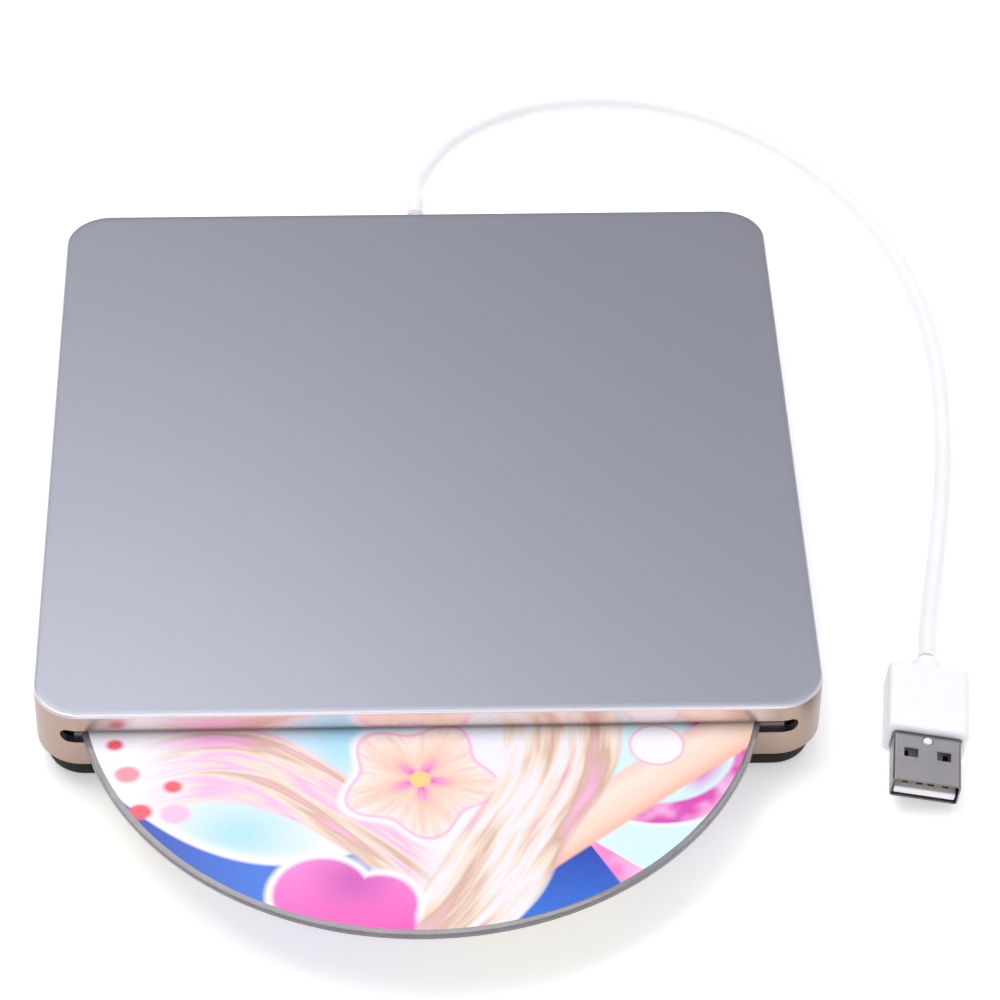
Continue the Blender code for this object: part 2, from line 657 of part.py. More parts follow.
def spindle(sheet, plastic, rubber, steel):
    place = (SPINDLE_X, SPINDLE_Y, 0)
    bore, stator_bottom, mat_bottom = 1.3, CHASSIS_TOP + GAP, 8.4
    profile = tube_profile(bore, 10.0, stator_bottom, stator_bottom + 0.9)
    stator = turned_mesh(profile, place, "Z", 32)
    finish("spindle_stator", stator, sheet, (SPINDLE_X, SPINDLE_Y, stator_bottom), True)
    plate_top = mat_bottom - GAP
    profile = [(1.0, 5.4), (1.0, 6.5), (13.0, 6.5), (13.0, plate_top), (7.2, plate_top)]
    profile += [(7.2, 9.3), (6.4, 9.9)]
    mesh = turned_mesh(profile, place, "Z", 40, True)
    hub = finish("turntable", mesh, plastic, (SPINDLE_X, SPINDLE_Y, plate_top), True)
    claw_half = 1.1
    claw_outline = [(5.3, 8.8), (7.0, 8.8), (7.3, 9.2), (6.6, 9.8), (5.3, 9.8)]
    for number in range(3):
        angle = 2 * math.pi * number / 3 + math.pi / 2
        turn = Matrix.Translation(place) @ Matrix.Rotation(angle, 4, "Z")
        notch = box_mesh((5.0, -claw_half - GAP, 8.5), (8.0, claw_half + GAP, 10.5))
        bmesh.ops.transform(notch, matrix=turn, verts=notch.verts)
        cut(hub, notch)
        claw = lofted([[(x, y, z) for x, z in claw_outline] for y in (-claw_half, claw_half)])
        bmesh.ops.transform(claw, matrix=turn, verts=claw.verts)
        finish(f"hub_claw_{number + 1}", claw, steel, place)
    mat = turned_mesh(tube_profile(8.0, 12.5, mat_bottom, mat_bottom + 0.4), place, "Z", 32)
    finish("turntable_mat", mat, rubber, (SPINDLE_X, SPINDLE_Y, mat_bottom), True)


def screw_mesh():
    """Lead screw: plain journals and a trapezoidal helical thread, axis along Y."""
    sides, per_turn = 12, 6
    step = SCREW_PITCH / per_turn
    half_crest, flank = 0.13, 0.14
    rings = [(7.0, False), (THREAD_START - step, False)]
    rings += [(THREAD_START + i * step, True) for i in range(round((THREAD_END - THREAD_START) / step) + 1)]
    rings += [(THREAD_END + step, False), (CHASSIS_REAR - GAP, False)]
    loops = []
    for y, threaded in rings:
        loop = []
        for side in range(sides):
            angle = 2 * math.pi * side / sides
            # 0 and 1 are the crest's middle. The groove faces the pickup, at the angle pi.
            turn = (y - SCREW_NUT_Y) / SCREW_PITCH - (angle - math.pi) / (2 * math.pi) + 0.5
            from_crest = abs((turn + 0.5) % 1 - 0.5)
            height = min(1, max(0, (half_crest + flank - from_crest) / flank))
            radius = SCREW_CORE + (SCREW_CREST - SCREW_CORE) * height if threaded else JOURNAL_R
            loop.append((SCREW_X + radius * math.cos(angle), y, ROD_Z - radius * math.sin(angle)))
        loops.append(loop)
    return lofted(loops)


def bevelled(piece, width):
    edge = piece.modifiers.new("edges", "BEVEL")
    edge.width = width * MM
    edge.segments = 1
    edge.angle_limit = math.radians(60)


def pickup(zinc, plastic, glass, steel, can):
    sled_top = 9.4
    sled = box("pickup_sled", (-SLED_HALF, SLED_FRONT, 5.4), (SLED_HALF, SLED_REAR, sled_top), zinc)
    for side in (-1, 1):
        x0, x1 = sorted((side * (SLED_HALF - OVERRUN), side * (ROD_X + 2.4)))
        join(sled, box_mesh((x0, SLED_FRONT + GAP, 5.5), (x1, 21.5, 8.6)))
        rod_hole = rod_profile(ROD_R + GAP, 10, 24)
        cut(sled, turned_mesh(rod_hole, (side * ROD_X, 0, ROD_Z), "Y", 16, True))
    bevelled(sled, 0.3)
    arm = box("sled_follower", (22.7, SCREW_NUT_Y - 1.4, 6.5), (23.7, SCREW_NUT_Y + 1.4, 7.5), plastic)
    tip = SCREW_X - SCREW_CORE - 0.35
    join(arm, box_mesh((23.5, SCREW_NUT_Y - 0.4, 6.7), (tip, SCREW_NUT_Y + 0.4, 7.3)))
    lens_place = (SPINDLE_X, LENS_Y, 0)
    floor = sled_top + GAP
    low, high = (SPINDLE_X - 6.0, 18.6, floor), (SPINDLE_X + 6.0, 25.8, floor + 0.6)
    frame = box("lens_actuator", low, high, plastic)
    cut(frame, turned_mesh(rod_profile(2.3, sled_top, 11), lens_place, "Z", 20, True))
    profile = [(2.0, floor), (2.0, floor + 0.4), (1.5, floor + 0.75), (0.8, floor + 0.9)]
    finish("objective_lens", turned_mesh(profile, lens_place, "Z", 20, True), glass, smooth=True)

    axis = (SCREW_X, 0, ROD_Z)
    finish("lead_screw", screw_mesh(), steel, axis, True)
    motor_front = 8.9
    motor_radius = 2.8
    body = turned_mesh(rod_profile(motor_radius, -6.6, motor_front), axis, "Y", 20, True)
    motor = finish("feed_motor", body, can, smooth=True)
    bracket_bottom = CHASSIS_TOP + GAP
    join(motor, box_mesh((22.6, motor_front - 0.4, bracket_bottom), (29.0, motor_front + 0.4, 10.2)))
    cut(motor, turned_mesh(rod_profile(JOURNAL_R + GAP, 6.0, 10.0), axis, "Y", 12, True))


def end_lever(plastic, black):
    """Lever that the disc's rear edge meets as it arrives, on the tray's post."""
    pivot = (LEVER_X, LEVER_Y, LEVER_BOTTOM)
    arm = [(LEVER_X, LEVER_Y - 1.4), (LEVER_X, LEVER_Y + 1.4), (19.0, 57.6), (19.0, 55.6)]
    mesh = lofted([flat_ring(arm, LEVER_BOTTOM + 0.1), flat_ring(arm, LEVER_TOP - 0.1)])
    lever = finish("disc_end_lever", mesh, plastic, pivot)
    hub = rod_profile(3.0, LEVER_BOTTOM, LEVER_TOP)
    join(lever, turned_mesh(hub, (LEVER_X, LEVER_Y, 0), "Z", 20, True))
    hole = rod_profile(LEVER_POST_R + GAP, LEVER_BOTTOM - OVERRUN, LEVER_TOP + OVERRUN)
    cut(lever, turned_mesh(hole, (LEVER_X, LEVER_Y, 0), "Z", 16, True))
    box("end_switch", (54.6, 50.0, TRAY_FLOOR + GAP), (59.6, 57.0, 10.4), black)


def electronics(board, chip, metal, plastic):
    chip_bottom = BOARD_TOP + GAP
    box("main_board", (-60.0, -30.0, BOARD_BOTTOM), (-37.0, 51.0, BOARD_TOP), board)
    box("controller_chip", (-56.0, 0.0, chip_bottom), (-42.0, 14.0, chip_bottom + 1.2), chip)
    box("motor_driver_chip", (-53.0, -22.0, chip_bottom), (-45.0, -12.0, chip_bottom + 1.1), chip)
    low, high = (CONNECTOR_X - 10, 51.6, BOARD_BOTTOM), (CONNECTOR_X + 10, 58.6, 8.4)
    socket = box("drive_connector", low, high, plastic)
    mouth = BLADE_HALF + 0.4
    cut(socket, box_mesh((CONNECTOR_X - mouth, 57.0, 4.9), (CONNECTOR_X + mouth, 60.0, 7.1)))

    bridge_bottom, bridge_top = 2.8, 3.8
    rear_bottom = bridge_top + GAP
    box("bridge_board", (-60.0, 60.9, bridge_bottom), (8.0, 65.1, bridge_top), board)
    low, high = (CONNECTOR_X - 9, 61.4, rear_bottom), (CONNECTOR_X + 9, 65.0, 8.2)
    mate = box("bridge_connector", low, high, plastic)
    join(mate, box_mesh((CONNECTOR_X - BLADE_HALF, 57.4, 5.2), (CONNECTOR_X + BLADE_HALF, 61.6, 6.8)))
    box("bridge_chip", (-30.0, 61.2, rear_bottom), (-22.0, 64.8, rear_bottom + 1.0), chip)
    box("cord_header", (-5.0, 61.2, rear_bottom), (5.0, 64.6, 7.4), metal)


def strain_relief(white):
    """Flange inside the wall, neck through it, collar outside and a taper round the cord."""
    wall = CASE_SIDE / 2
    flange, neck, collar = 3.2, EXIT_R - GAP, 3.2
    inside, outside = wall - WALL - GAP, wall + GAP
    profile = [(flange, inside - 1.3), (flange, inside), (neck, inside), (neck, outside)]
    profile += [(collar - 0.1, outside), (collar, outside + 0.3), (collar, outside + 1.0)]
    profile += [(collar - 0.4, outside + 1.4), (CORD_R + 0.25, RELIEF_END - 0.3), (CORD_R, RELIEF_END)]
    mesh = turned_mesh(profile, (0, 0, EXIT_Z), "Y", 20, True)
    finish("strain_relief", mesh, white, (0, wall, EXIT_Z), True)


def plug_frame():
    """World matrix of the plug, in millimetres: its own -Y points out of the connector."""
    turn = Matrix.Rotation(PLUG_YAW, 4, "Z") @ Matrix.Rotation(PLUG_ROLL, 4, "Y")
    return Matrix.Translation(PLUG_FRONT) @ turn


def plug_piece(name, mesh, surface, smooth=False):
    """Object from a mesh drawn in the plug's own frame."""
    made = finish(name, mesh, surface, (0, 0, 0), smooth)
    world = plug_frame()
    world.translation = world.translation * MM
    made.matrix_world = world
    return made


def in_place(operation, target, mesh):
    """Cut or join whose helper is drawn in the target's own frame."""
    operation(target, mesh)
    target.modifiers[-1].object.matrix_world = target.matrix_world


def usb_plug(white, steel, gold):
    outline = rounded(PLUG_WIDTH, PLUG_THICK, 1.5, 4)
    tight = rounded(PLUG_WIDTH - 2 * PLUG_EDGE, PLUG_THICK - 2 * PLUG_EDGE, 1.0, 4)
    spots = [(tight, 0.0), (outline, PLUG_EDGE)]
    spots += [(outline, PLUG_LENGTH - 1.2), (tight, PLUG_LENGTH)]
    body = plug_piece("plug_overmould", lofted([front_ring(o, y, (0, 0)) for o, y in spots]), white, True)
    boot = [(2.9, PLUG_LENGTH - 0.4), (2.7, PLUG_LENGTH + 1.6), (1.8, PLUG_LENGTH + BOOT_LENGTH)]
    in_place(join, body, turned_mesh(boot, (0, 0, 0), "Y", 20, True))
    pocket = rounded(SHELL_WIDTH + 2 * GAP, SHELL_HEIGHT + 2 * GAP, SHELL_CORNER, 2)
    pocket_end, shell_end = 3.0, 2.6
    in_place(cut, body, lofted([front_ring(pocket, y, (0, 0)) for y in (-OVERRUN, pocket_end)]))

    outer = rounded(SHELL_WIDTH, SHELL_HEIGHT, SHELL_CORNER, 2)
    inner_corner = SHELL_CORNER - SHELL_WALL
    inner = rounded(SHELL_WIDTH - 2 * SHELL_WALL, SHELL_HEIGHT - 2 * SHELL_WALL, inner_corner, 2)
    spots = [(inner, shell_end - 0.4), (inner, -SHELL_OUT), (outer, -SHELL_OUT), (outer, shell_end)]
    shell = plug_piece("plug_shell", lofted([front_ring(o, y, (0, 0)) for o, y in spots]), steel, True)
    half = SHELL_HEIGHT / 2
    for x in (-WINDOW_X, WINDOW_X):
        for z in (-half, half):
            low = (x - WINDOW_WIDTH / 2, WINDOW_Y0, z - 2 * SHELL_WALL)
            high = (x + WINDOW_WIDTH / 2, WINDOW_Y1, z + 2 * SHELL_WALL)
            in_place(cut, shell, box_mesh(low, high))
    floor = SHELL_WALL - half + GAP
    low, high = (-TONGUE_HALF, -SHELL_OUT + 0.4, floor), (TONGUE_HALF, 1.6, floor + TONGUE_THICK)
    tongue = plug_piece("plug_tongue", box_mesh(low, high), white)
    bevelled(tongue, 0.15)
    contact_z = floor + TONGUE_THICK + 0.1
    for number, x in enumerate(CONTACT_X, 1):
        low = (x - CONTACT_HALF, -SHELL_OUT + 1.4, contact_z)
        high = (x + CONTACT_HALF, -2.4, contact_z + CONTACT_THICK)
        plug_piece(f"plug_contact_{number}", box_mesh(low, high), gold)


def catmull(a, b, c, d, t):
    return 0.5 * (2 * b + (c - a) * t + (2 * a - 5 * b + 4 * c - d) * t**2 + (3 * b - a - 3 * c + d) * t**3)


def smooth_route(points, step):
    """Points about one step apart on a smooth curve through the given ones."""
    spots = [Vector(p) for p in points]
    spots = [2 * spots[0] - spots[1]] + spots + [2 * spots[-1] - spots[-2]]
    fine = []
    for a, b, c, d in zip(spots, spots[1:], spots[2:], spots[3:]):
        fine += [catmull(a, b, c, d, i / 24) for i in range(24)]
    fine.append(spots[-2])
    lengths = [0.0]
    for p, q in zip(fine, fine[1:]):
        lengths.append(lengths[-1] + (q - p).length)
    count = round(lengths[-1] / step)
    route, at = [], 0
    for i in range(count + 1):
        want = lengths[-1] * i / count
        while at < len(lengths) - 2 and lengths[at + 1] < want:
            at += 1
        share = (want - lengths[at]) / (lengths[at + 1] - lengths[at])
        route.append(fine[at].lerp(fine[at + 1], share))
    return route


def cord(white):
    end = plug_frame() @ Vector((0, PLUG_LENGTH + BOOT_LENGTH + GAP, 0))
    route = smooth_route(CORD_ROUTE + [tuple(end)], CORD_STEP)
    curve = bpy.data.curves.new("usb_cord", "CURVE")
    curve.dimensions = "3D"
    curve.bevel_depth = CORD_R * MM
    curve.bevel_resolution = 2
    curve.use_fill_caps = True
    spline = curve.splines.new("POLY")
    spline.points.add(len(route) - 1)
    for point, spot in zip(spline.points, route):
        height = max(spot.z, CORD_R + CLEAR_OF_FLOOR)
        point.co = (spot.x * MM, spot.y * MM, height * MM, 1.0)
    curve.materials.append(white)
    made = bpy.data.objects.new("usb_cord", curve)
    bpy.context.scene.collection.objects.link(made)


def main():
    for old in list(bpy.data.objects):
        bpy.data.objects.remove(old)
    metal = material("satin_aluminium", (0.55, 0.55, 0.58), 0.35, 1.0)
    black = material("black_plastic", (0.02, 0.018, 0.017), 0.45)
    rubber = material("black_rubber", (0.03, 0.03, 0.03), 0.8)
    felt = material("grey_felt", (0.06, 0.06, 0.065), 0.95)
    sheet = material("zinc_plated_sheet", (0.6, 0.6, 0.58), 0.4, 1.0)
    steel = material("bright_steel", (0.62, 0.62, 0.62), 0.25, 1.0)
    can = material("motor_can", (0.5, 0.5, 0.5), 0.3, 1.0)
    plastic = material("grey_acetal", (0.16, 0.16, 0.17), 0.5)
    gear_plastic = material("natural_acetal", (0.75, 0.73, 0.66), 0.45)
    zinc = material("die_cast_zinc", (0.45, 0.45, 0.46), 0.5, 1.0)
    glass = material("lens_glass", (0.5, 0.6, 0.8), 0.05)
    board = material("green_board", (0.02, 0.16, 0.07), 0.45)
    chip = material("chip_epoxy", (0.025, 0.025, 0.028), 0.5)
    print_white = material("printed_polycarbonate", (0.85, 0.82, 0.88), 0.15)
    white = material("white_vinyl", (0.88, 0.87, 0.88), 0.35)
    gold = material("gold_plate", (0.83, 0.62, 0.25), 0.25, 1.0)
    case(metal, black, rubber)
    drive_screws(steel)
    slot_felts(felt)
    drive_frame(sheet, plastic)
    disc_piece(print_white)
    disc_feed(steel, rubber, gear_plastic, can)
    traverse(sheet, steel, rubber, gear_plastic)
    spindle(sheet, plastic, rubber, steel)
    pickup(zinc, plastic, glass, steel, can)
    end_lever(gear_plastic, black)
    electronics(board, chip, sheet, black)
    strain_relief(white)
    usb_plug(white, steel, gold)
    cord(white)


main()
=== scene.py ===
import json
import math

import bmesh
import bpy
from mathutils import Matrix, Vector


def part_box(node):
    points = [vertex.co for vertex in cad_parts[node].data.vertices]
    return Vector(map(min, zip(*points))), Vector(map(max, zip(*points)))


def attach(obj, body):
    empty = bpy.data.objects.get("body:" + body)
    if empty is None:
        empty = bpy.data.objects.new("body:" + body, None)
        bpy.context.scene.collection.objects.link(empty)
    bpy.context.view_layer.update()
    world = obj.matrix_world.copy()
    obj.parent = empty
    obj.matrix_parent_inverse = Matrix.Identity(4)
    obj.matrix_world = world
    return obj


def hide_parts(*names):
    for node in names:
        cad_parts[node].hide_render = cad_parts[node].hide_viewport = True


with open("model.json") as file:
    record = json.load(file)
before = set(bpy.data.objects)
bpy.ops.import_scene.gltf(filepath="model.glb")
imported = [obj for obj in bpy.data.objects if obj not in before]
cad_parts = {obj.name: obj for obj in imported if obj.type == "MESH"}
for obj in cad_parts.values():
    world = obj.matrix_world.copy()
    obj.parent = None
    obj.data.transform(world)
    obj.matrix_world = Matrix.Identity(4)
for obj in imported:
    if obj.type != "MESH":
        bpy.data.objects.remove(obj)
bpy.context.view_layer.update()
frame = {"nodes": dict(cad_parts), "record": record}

MM = 0.001

# The part's own measures in metres that no node's box gives
CORNER = 0.0085
WALL = 0.0015
SLOT_WIDTH = 0.1276
SLOT_HEIGHT = 0.0028
SLOT_Z = 0.0121
CORD_DIAMETER = 0.0034
RELIEF_END = (0.0, 0.078, 0.0084)
PLUG_FRONT = (0.0868, -0.066, 0.0046)
PLUG_YAW = math.radians(-7.0)
PLUG_ROLL = math.radians(6.0)
PLUG_WIDTH = 0.0146
PLUG_THICK = 0.0072
PLUG_LENGTH = 0.0168
BOOT_LENGTH = 0.0036
SHELL_WIDTH = 0.012
SHELL_HEIGHT = 0.0045
SHELL_OUT = 0.0114

# Windows and locking dimple of the plug's metal shell
WINDOW_X = 0.0029
WINDOW_FRONT = -0.00575
WINDOW_WIDTH = 0.0025
WINDOW_LENGTH = 0.0023
DIMPLE_Y = -0.0014

# Where the disc's hole, hub, clamping ring, mirror layer and print end, from its centre
DISC_HOLE = 0.0075
DISC_HUB = 0.0115
DISC_CLAMP = 0.0215
MIRROR_END = 0.0585
PRINT_END = 0.0589

# Camera
LENS = 138.6
CAMERA_PLACE = (-0.01046, -0.52833, 0.49364)
CAMERA_TURN = (47.14, -0.81, -1.95)

# Colours of the anodised metal: the top's own tone, painted reflections that make the front wall and
# the other wall faces warmer and brighter, a painted highlight on the rounded edge, and a painted
# reflection of the disc on the slot lip
TOP_TONE = (0.292, 0.298, 0.35)
FRONT_WALL_PAINTED_REFLECTION = (0.41, 0.298, 0.243)
SIDE_WALL_PAINTED_REFLECTION = (0.33, 0.285, 0.262)
EDGE_PAINTED_HIGHLIGHT = (0.86, 0.84, 0.90)
LIP_PAINTED_DISC_REFLECTION = (0.90, 0.78, 0.77)

# The cord's centre, from the strain relief to the plug's boot
CORD_ROUTE = [
    (0.0, 0.0783, 0.0084),
    (0.0, 0.0826, 0.00835),
    (-0.0003, 0.0875, 0.0067),
    (0.0003, 0.0935, 0.0040),
    (0.0025, 0.1015, 0.0021),
    (0.0072, 0.1102, 0.00175),
    (0.0158, 0.1179, 0.00175),
    (0.0273, 0.1230, 0.00175),
    (0.0420, 0.1244, 0.00175),
    (0.0566, 0.1209, 0.00175),
    (0.0709, 0.1124, 0.00175),
    (0.0833, 0.0992, 0.00175),
    (0.0930, 0.0824, 0.00175),
    (0.0987, 0.0636, 0.00175),
    (0.1011, 0.0430, 0.00175),
    (0.1004, 0.0225, 0.00175),
    (0.0980, 0.0025, 0.00175),
    (0.0946, -0.0166, 0.00175),
    (0.0926, -0.0265, 0.0020),
    (0.0908, -0.0360, 0.0031),
]


# Camera


def camera():
    data = bpy.data.cameras.new("camera")
    data.sensor_width = 36.0
    data.lens = LENS
    made = bpy.data.objects.new("camera", data)
    made.location = CAMERA_PLACE
    made.rotation_euler = [math.radians(angle) for angle in CAMERA_TURN]
    bpy.context.scene.collection.objects.link(made)
    bpy.context.scene.camera = made


# Mesh helpers, all in metres


def finish_mesh(name, mesh, surfaces, sharp=35.0):
    data = bpy.data.meshes.new(name)
    mesh.to_mesh(data)
    mesh.free()
    data.shade_smooth()
    data.set_sharp_from_angle(angle=math.radians(sharp))
    made = bpy.data.objects.new(name, data)
    bpy.context.scene.collection.objects.link(made)
    for surface in surfaces:
        data.materials.append(surface)
    return made


def lofted(rings, closed=False):
    """Skin through rings of equal length, capped at its ends unless it closes on itself."""
    mesh = bmesh.new()
    loops = [[mesh.verts.new(point) for point in ring] for ring in rings]
    pairs = list(zip(loops, loops[1:]))
    if closed:
        pairs.append((loops[-1], loops[0]))
    for low, high in pairs:
        for i in range(len(low)):
            j = (i + 1) % len(low)
            mesh.faces.new((low[i], low[j], high[j], high[i]))
    if not closed:
        mesh.faces.new(loops[0])
        mesh.faces.new(loops[-1])
    bmesh.ops.recalc_face_normals(mesh, faces=mesh.faces)
    return mesh


def rounded(width, depth, radius, steps=16):
    """Outline of a rectangle with round corners, centred on zero."""
    points = []
    for sign_x, sign_y, start in ((1, 1, 0), (-1, 1, 90), (-1, -1, 180), (1, -1, 270)):
        for step in range(steps + 1):
            angle = math.radians(start + 90 * step / steps)
            x = sign_x * (width / 2 - radius) + radius * math.cos(angle)
            y = sign_y * (depth / 2 - radius) + radius * math.sin(angle)
            points.append((x, y))
    return points


def flat_ring(outline, z):
    return [(x, y, z) for x, y in outline]


def front_ring(outline, y, centre=(0.0, 0.0)):
    """The outline's two axes laid along X and Z, at one y."""
    return [(u + centre[0], y, v + centre[1]) for u, v in outline]


def square_rings(spots, corner, side):
    """Rings of a rounded square: each spot is (how far inside the full outline, z)."""
    rings = []
    for inset, z in spots:
        width = side - 2 * inset
        rings.append(flat_ring(rounded(width, width, max(corner - inset, 0.0008)), z))
    return rings


def fillet(inset, z, radius, start, end, steps=4):
    """Spots of a round edge about (inset, z), from one angle to the other, in degrees."""
    spots = []
    for step in range(steps + 1):
        angle = math.radians(start + (end - start) * step / steps)
        spots.append((inset - radius * math.cos(angle), z + radius * math.sin(angle)))
    return spots


def turned(profile, centre, axis="Z", sides=48, closed=True):
    turn = {"Y": Matrix.Rotation(math.radians(-90), 3, "X"), "Z": Matrix.Identity(3)}[axis]
    rings = []
    for radius, height in profile:
        ring = []
        for side in range(sides):
            angle = 2 * math.pi * side / sides
            spot = Vector((radius * math.cos(angle), radius * math.sin(angle), height))
            ring.append(turn @ spot + Vector(centre))
        rings.append(ring)
    return lofted(rings, closed)


def carve(target, mesh):
    """Cuts the mesh out of the target, and leaves no modifier or helper behind."""
    cutter = finish_mesh("cutter", mesh, [])
    cutter.matrix_world = target.matrix_world
    change = target.modifiers.new("carve", "BOOLEAN")
    change.object = cutter
    bpy.context.view_layer.update()
    graph = bpy.context.evaluated_depsgraph_get()
    data = bpy.data.meshes.new_from_object(target.evaluated_get(graph))
    target.modifiers.clear()
    target.data = data
    bpy.data.objects.remove(cutter)


# Materials


class Surface:
    """A Principled material, with short calls for the procedural nodes that feed it."""

    def __init__(self, name, roughness=0.5, metallic=0.0, **sockets):
        self.material = bpy.data.materials.new(name)
        self.material.use_nodes = True
        self.tree = self.material.node_tree
        self.shader = self.tree.nodes["Principled BSDF"]
        self.shader.inputs["Roughness"].default_value = roughness
        self.shader.inputs["Metallic"].default_value = metallic
        for label, value in sockets.items():
            self.shader.inputs[label.replace("_", " ")].default_value = value
        self.place = self.node("ShaderNodeTexCoord").outputs["Object"]
        self.height = None

    def node(self, kind, **settings):
        made = self.tree.nodes.new(kind)
        for label, value in settings.items():
            setattr(made, label, value)
        return made

    def link(self, source, target):
        self.tree.links.new(source, target)

    def feed(self, socket, value):
        """Links a node's output, or sets a number or a colour of three numbers."""
        if isinstance(value, bpy.types.NodeSocket):
            self.link(value, socket)
        else:
            socket.default_value = (*value, 1.0) if isinstance(value, tuple) else value

    def math(self, operation, a, b=0.0, c=0.0):
        made = self.node("ShaderNodeMath", operation=operation)
        for socket, value in zip(made.inputs, (a, b, c)):
            self.feed(socket, value)
        return made.outputs[0]

    def split(self, vector):
        made = self.node("ShaderNodeSeparateXYZ")
        self.link(vector, made.inputs[0])
        return made.outputs

    def vector(self, x, y, z=0.0):
        made = self.node("ShaderNodeCombineXYZ")
        for socket, value in zip(made.inputs, (x, y, z)):
            self.feed(socket, value)
        return made.outputs[0]

    def ramp(self, value, stops):
        """Colour that runs smoothly through stops of (position, colour)."""
        made = self.node("ShaderNodeValToRGB")
        self.link(value, made.inputs["Fac"])
        marks = made.color_ramp.elements
        while len(marks) < len(stops):
            marks.new(0.5)
        for mark, (position, colour) in zip(marks, stops):
            mark.position = position
        for mark, (position, colour) in zip(marks, stops):
            mark.color = (*colour, 1.0)
        return made.outputs["Color"]

    def moved(self, shift=(0, 0, 0), scale=(1, 1, 1), turn=0.0):
        made = self.node("ShaderNodeMapping")
        self.link(self.place, made.inputs["Vector"])
        made.inputs["Location"].default_value = shift
        made.inputs["Scale"].default_value = scale
        made.inputs["Rotation"].default_value = (0, 0, turn)
        return made.outputs[0]

    def noise(self, scale, detail=3.0, roughness=0.5, where=None, distortion=0.0):
        made = self.node("ShaderNodeTexNoise")
        self.link(where or self.place, made.inputs["Vector"])
        made.inputs["Scale"].default_value = scale
        made.inputs["Detail"].default_value = detail
        made.inputs["Roughness"].default_value = roughness
        made.inputs["Distortion"].default_value = distortion
        return made.outputs["Fac"]

    def spread(self, value, low, high, to_low=0.0, to_high=1.0):
        """The value's stretch from low to high, laid over another and clamped to it."""
        made = self.node("ShaderNodeMapRange")
        labels = ("From Min", "From Max", "To Min", "To Max")
        for label, number in zip(labels, (low, high, to_low, to_high)):
            made.inputs[label].default_value = number
        self.link(value, made.inputs["Value"])
        return made.outputs[0]

    def blend(self, share, a, b):
        """Colour a where the share is 0, and b where it is 1."""
        made = self.node("ShaderNodeMix", data_type="RGBA")
        self.feed(made.inputs[0], share)
        self.feed(made.inputs[6], a)
        self.feed(made.inputs[7], b)
        return made.outputs[2]

    def colour(self, value):
        self.feed(self.shader.inputs["Base Color"], value)

    def rough(self, value):
        self.feed(self.shader.inputs["Roughness"], value)

    def bump(self, height, distance, strength=1.0):
        made = self.node("ShaderNodeBump")
        made.inputs["Strength"].default_value = strength
        made.inputs["Distance"].default_value = distance
        self.link(height, made.inputs["Height"])
        if self.height:
            self.link(self.height, made.inputs["Normal"])
        self.height = made.outputs[0]
        self.link(self.height, self.shader.inputs["Normal"])


def satin_aluminium():
    """Fine-blasted, anodised silver with a cool top; by facing, painted reflections make the front and
    side wall faces warmer, a painted highlight brightens the rounded edge, and a painted reflection of
    the disc lightens the lip over the slot.
    """
    skin = Surface("satin_aluminium", metallic=1.0)
    grain = skin.noise(5200, 2, 0.6)
    cloud = skin.noise(26, 4, 0.55)
    facing = skin.split(skin.node("ShaderNodeNewGeometry").outputs["Normal"])
    place = skin.split(skin.place)
    # Painted reflections: the front wall and the side wall faces take warm tones that stand in for what
    # they reflect, not the metal's own colour
    painted_wall_reflections = skin.blend(skin.spread(facing["Y"], -0.8, 0.1), FRONT_WALL_PAINTED_REFLECTION, SIDE_WALL_PAINTED_REFLECTION)
    # Painted highlight: faces that turn from the wall to the top, along the rounded edge, are painted
    # near white
    tone = skin.blend(skin.spread(facing["Z"], 0.1, 0.5), painted_wall_reflections, EDGE_PAINTED_HIGHLIGHT)
    tone = skin.blend(skin.spread(facing["Z"], 0.90, 0.985), tone, TOP_TONE)
    # Painted reflection of the disc: the front wall's lip just over the slot, within the disc's width,
    # is painted light pink; the same mask lowers the roughness there
    over_slot = skin.spread(place["Z"], SLOT_Z + 0.0012, SLOT_Z + 0.0022)
    over_disc = skin.spread(skin.math("ABSOLUTE", place["X"]), 0.050, 0.060, 1.0, 0.0)
    front = skin.spread(facing["Y"], -0.95, -0.8, 1.0, 0.0)
    lip = skin.math("MULTIPLY", skin.math("MULTIPLY", over_slot, over_disc), front)
    tone = skin.blend(lip, tone, LIP_PAINTED_DISC_REFLECTION)
    tone = skin.blend(skin.spread(cloud, 0.35, 0.65, 0.0, 0.10), tone, (0.30, 0.29, 0.34))
    speck = skin.spread(skin.noise(900, 1, 0.4), 0.74, 0.80, 0.0, 0.12)
    skin.colour(skin.blend(speck, tone, (0.22, 0.21, 0.24)))
    gloss = skin.spread(grain, 0.3, 0.7, 0.30, 0.40)
    skin.rough(skin.math("MULTIPLY_ADD", lip, -0.10, gloss))
    skin.bump(grain, 0.000012, 0.5)
    return skin.material


def moulded(name, colour, other, rough_low, rough_high, grain_scale=2200, depth=0.00002, **sockets):
    """Moulded plastic or rubber: faint colour clouds, a fine surface grain and uneven gloss."""
    skin = Surface(name, **sockets)
    cloud = skin.noise(70, 4, 0.6)
    grain = skin.noise(grain_scale, 3, 0.6)
    skin.colour(skin.blend(skin.spread(cloud, 0.3, 0.7), colour, other))
    skin.rough(skin.spread(grain, 0.3, 0.7, rough_low, rough_high))
    skin.bump(grain, depth, 0.6)
    return skin.material


def worked_metal(name, colour, other, rough_low, rough_high, stretch=(1, 30, 1), scale=900):
    """Metal with fine drawn or brushed lines and slight tarnish."""
    skin = Surface(name, metallic=1.0)
    lines = skin.noise(scale, 3, 0.6, skin.moved(scale=stretch))
    cloud = skin.noise(60, 4, 0.6)
    skin.colour(skin.blend(skin.spread(cloud, 0.35, 0.7), colour, other))
    skin.rough(skin.spread(lines, 0.3, 0.7, rough_low, rough_high))
    skin.bump(lines, 0.00001, 0.4)
    return skin.material


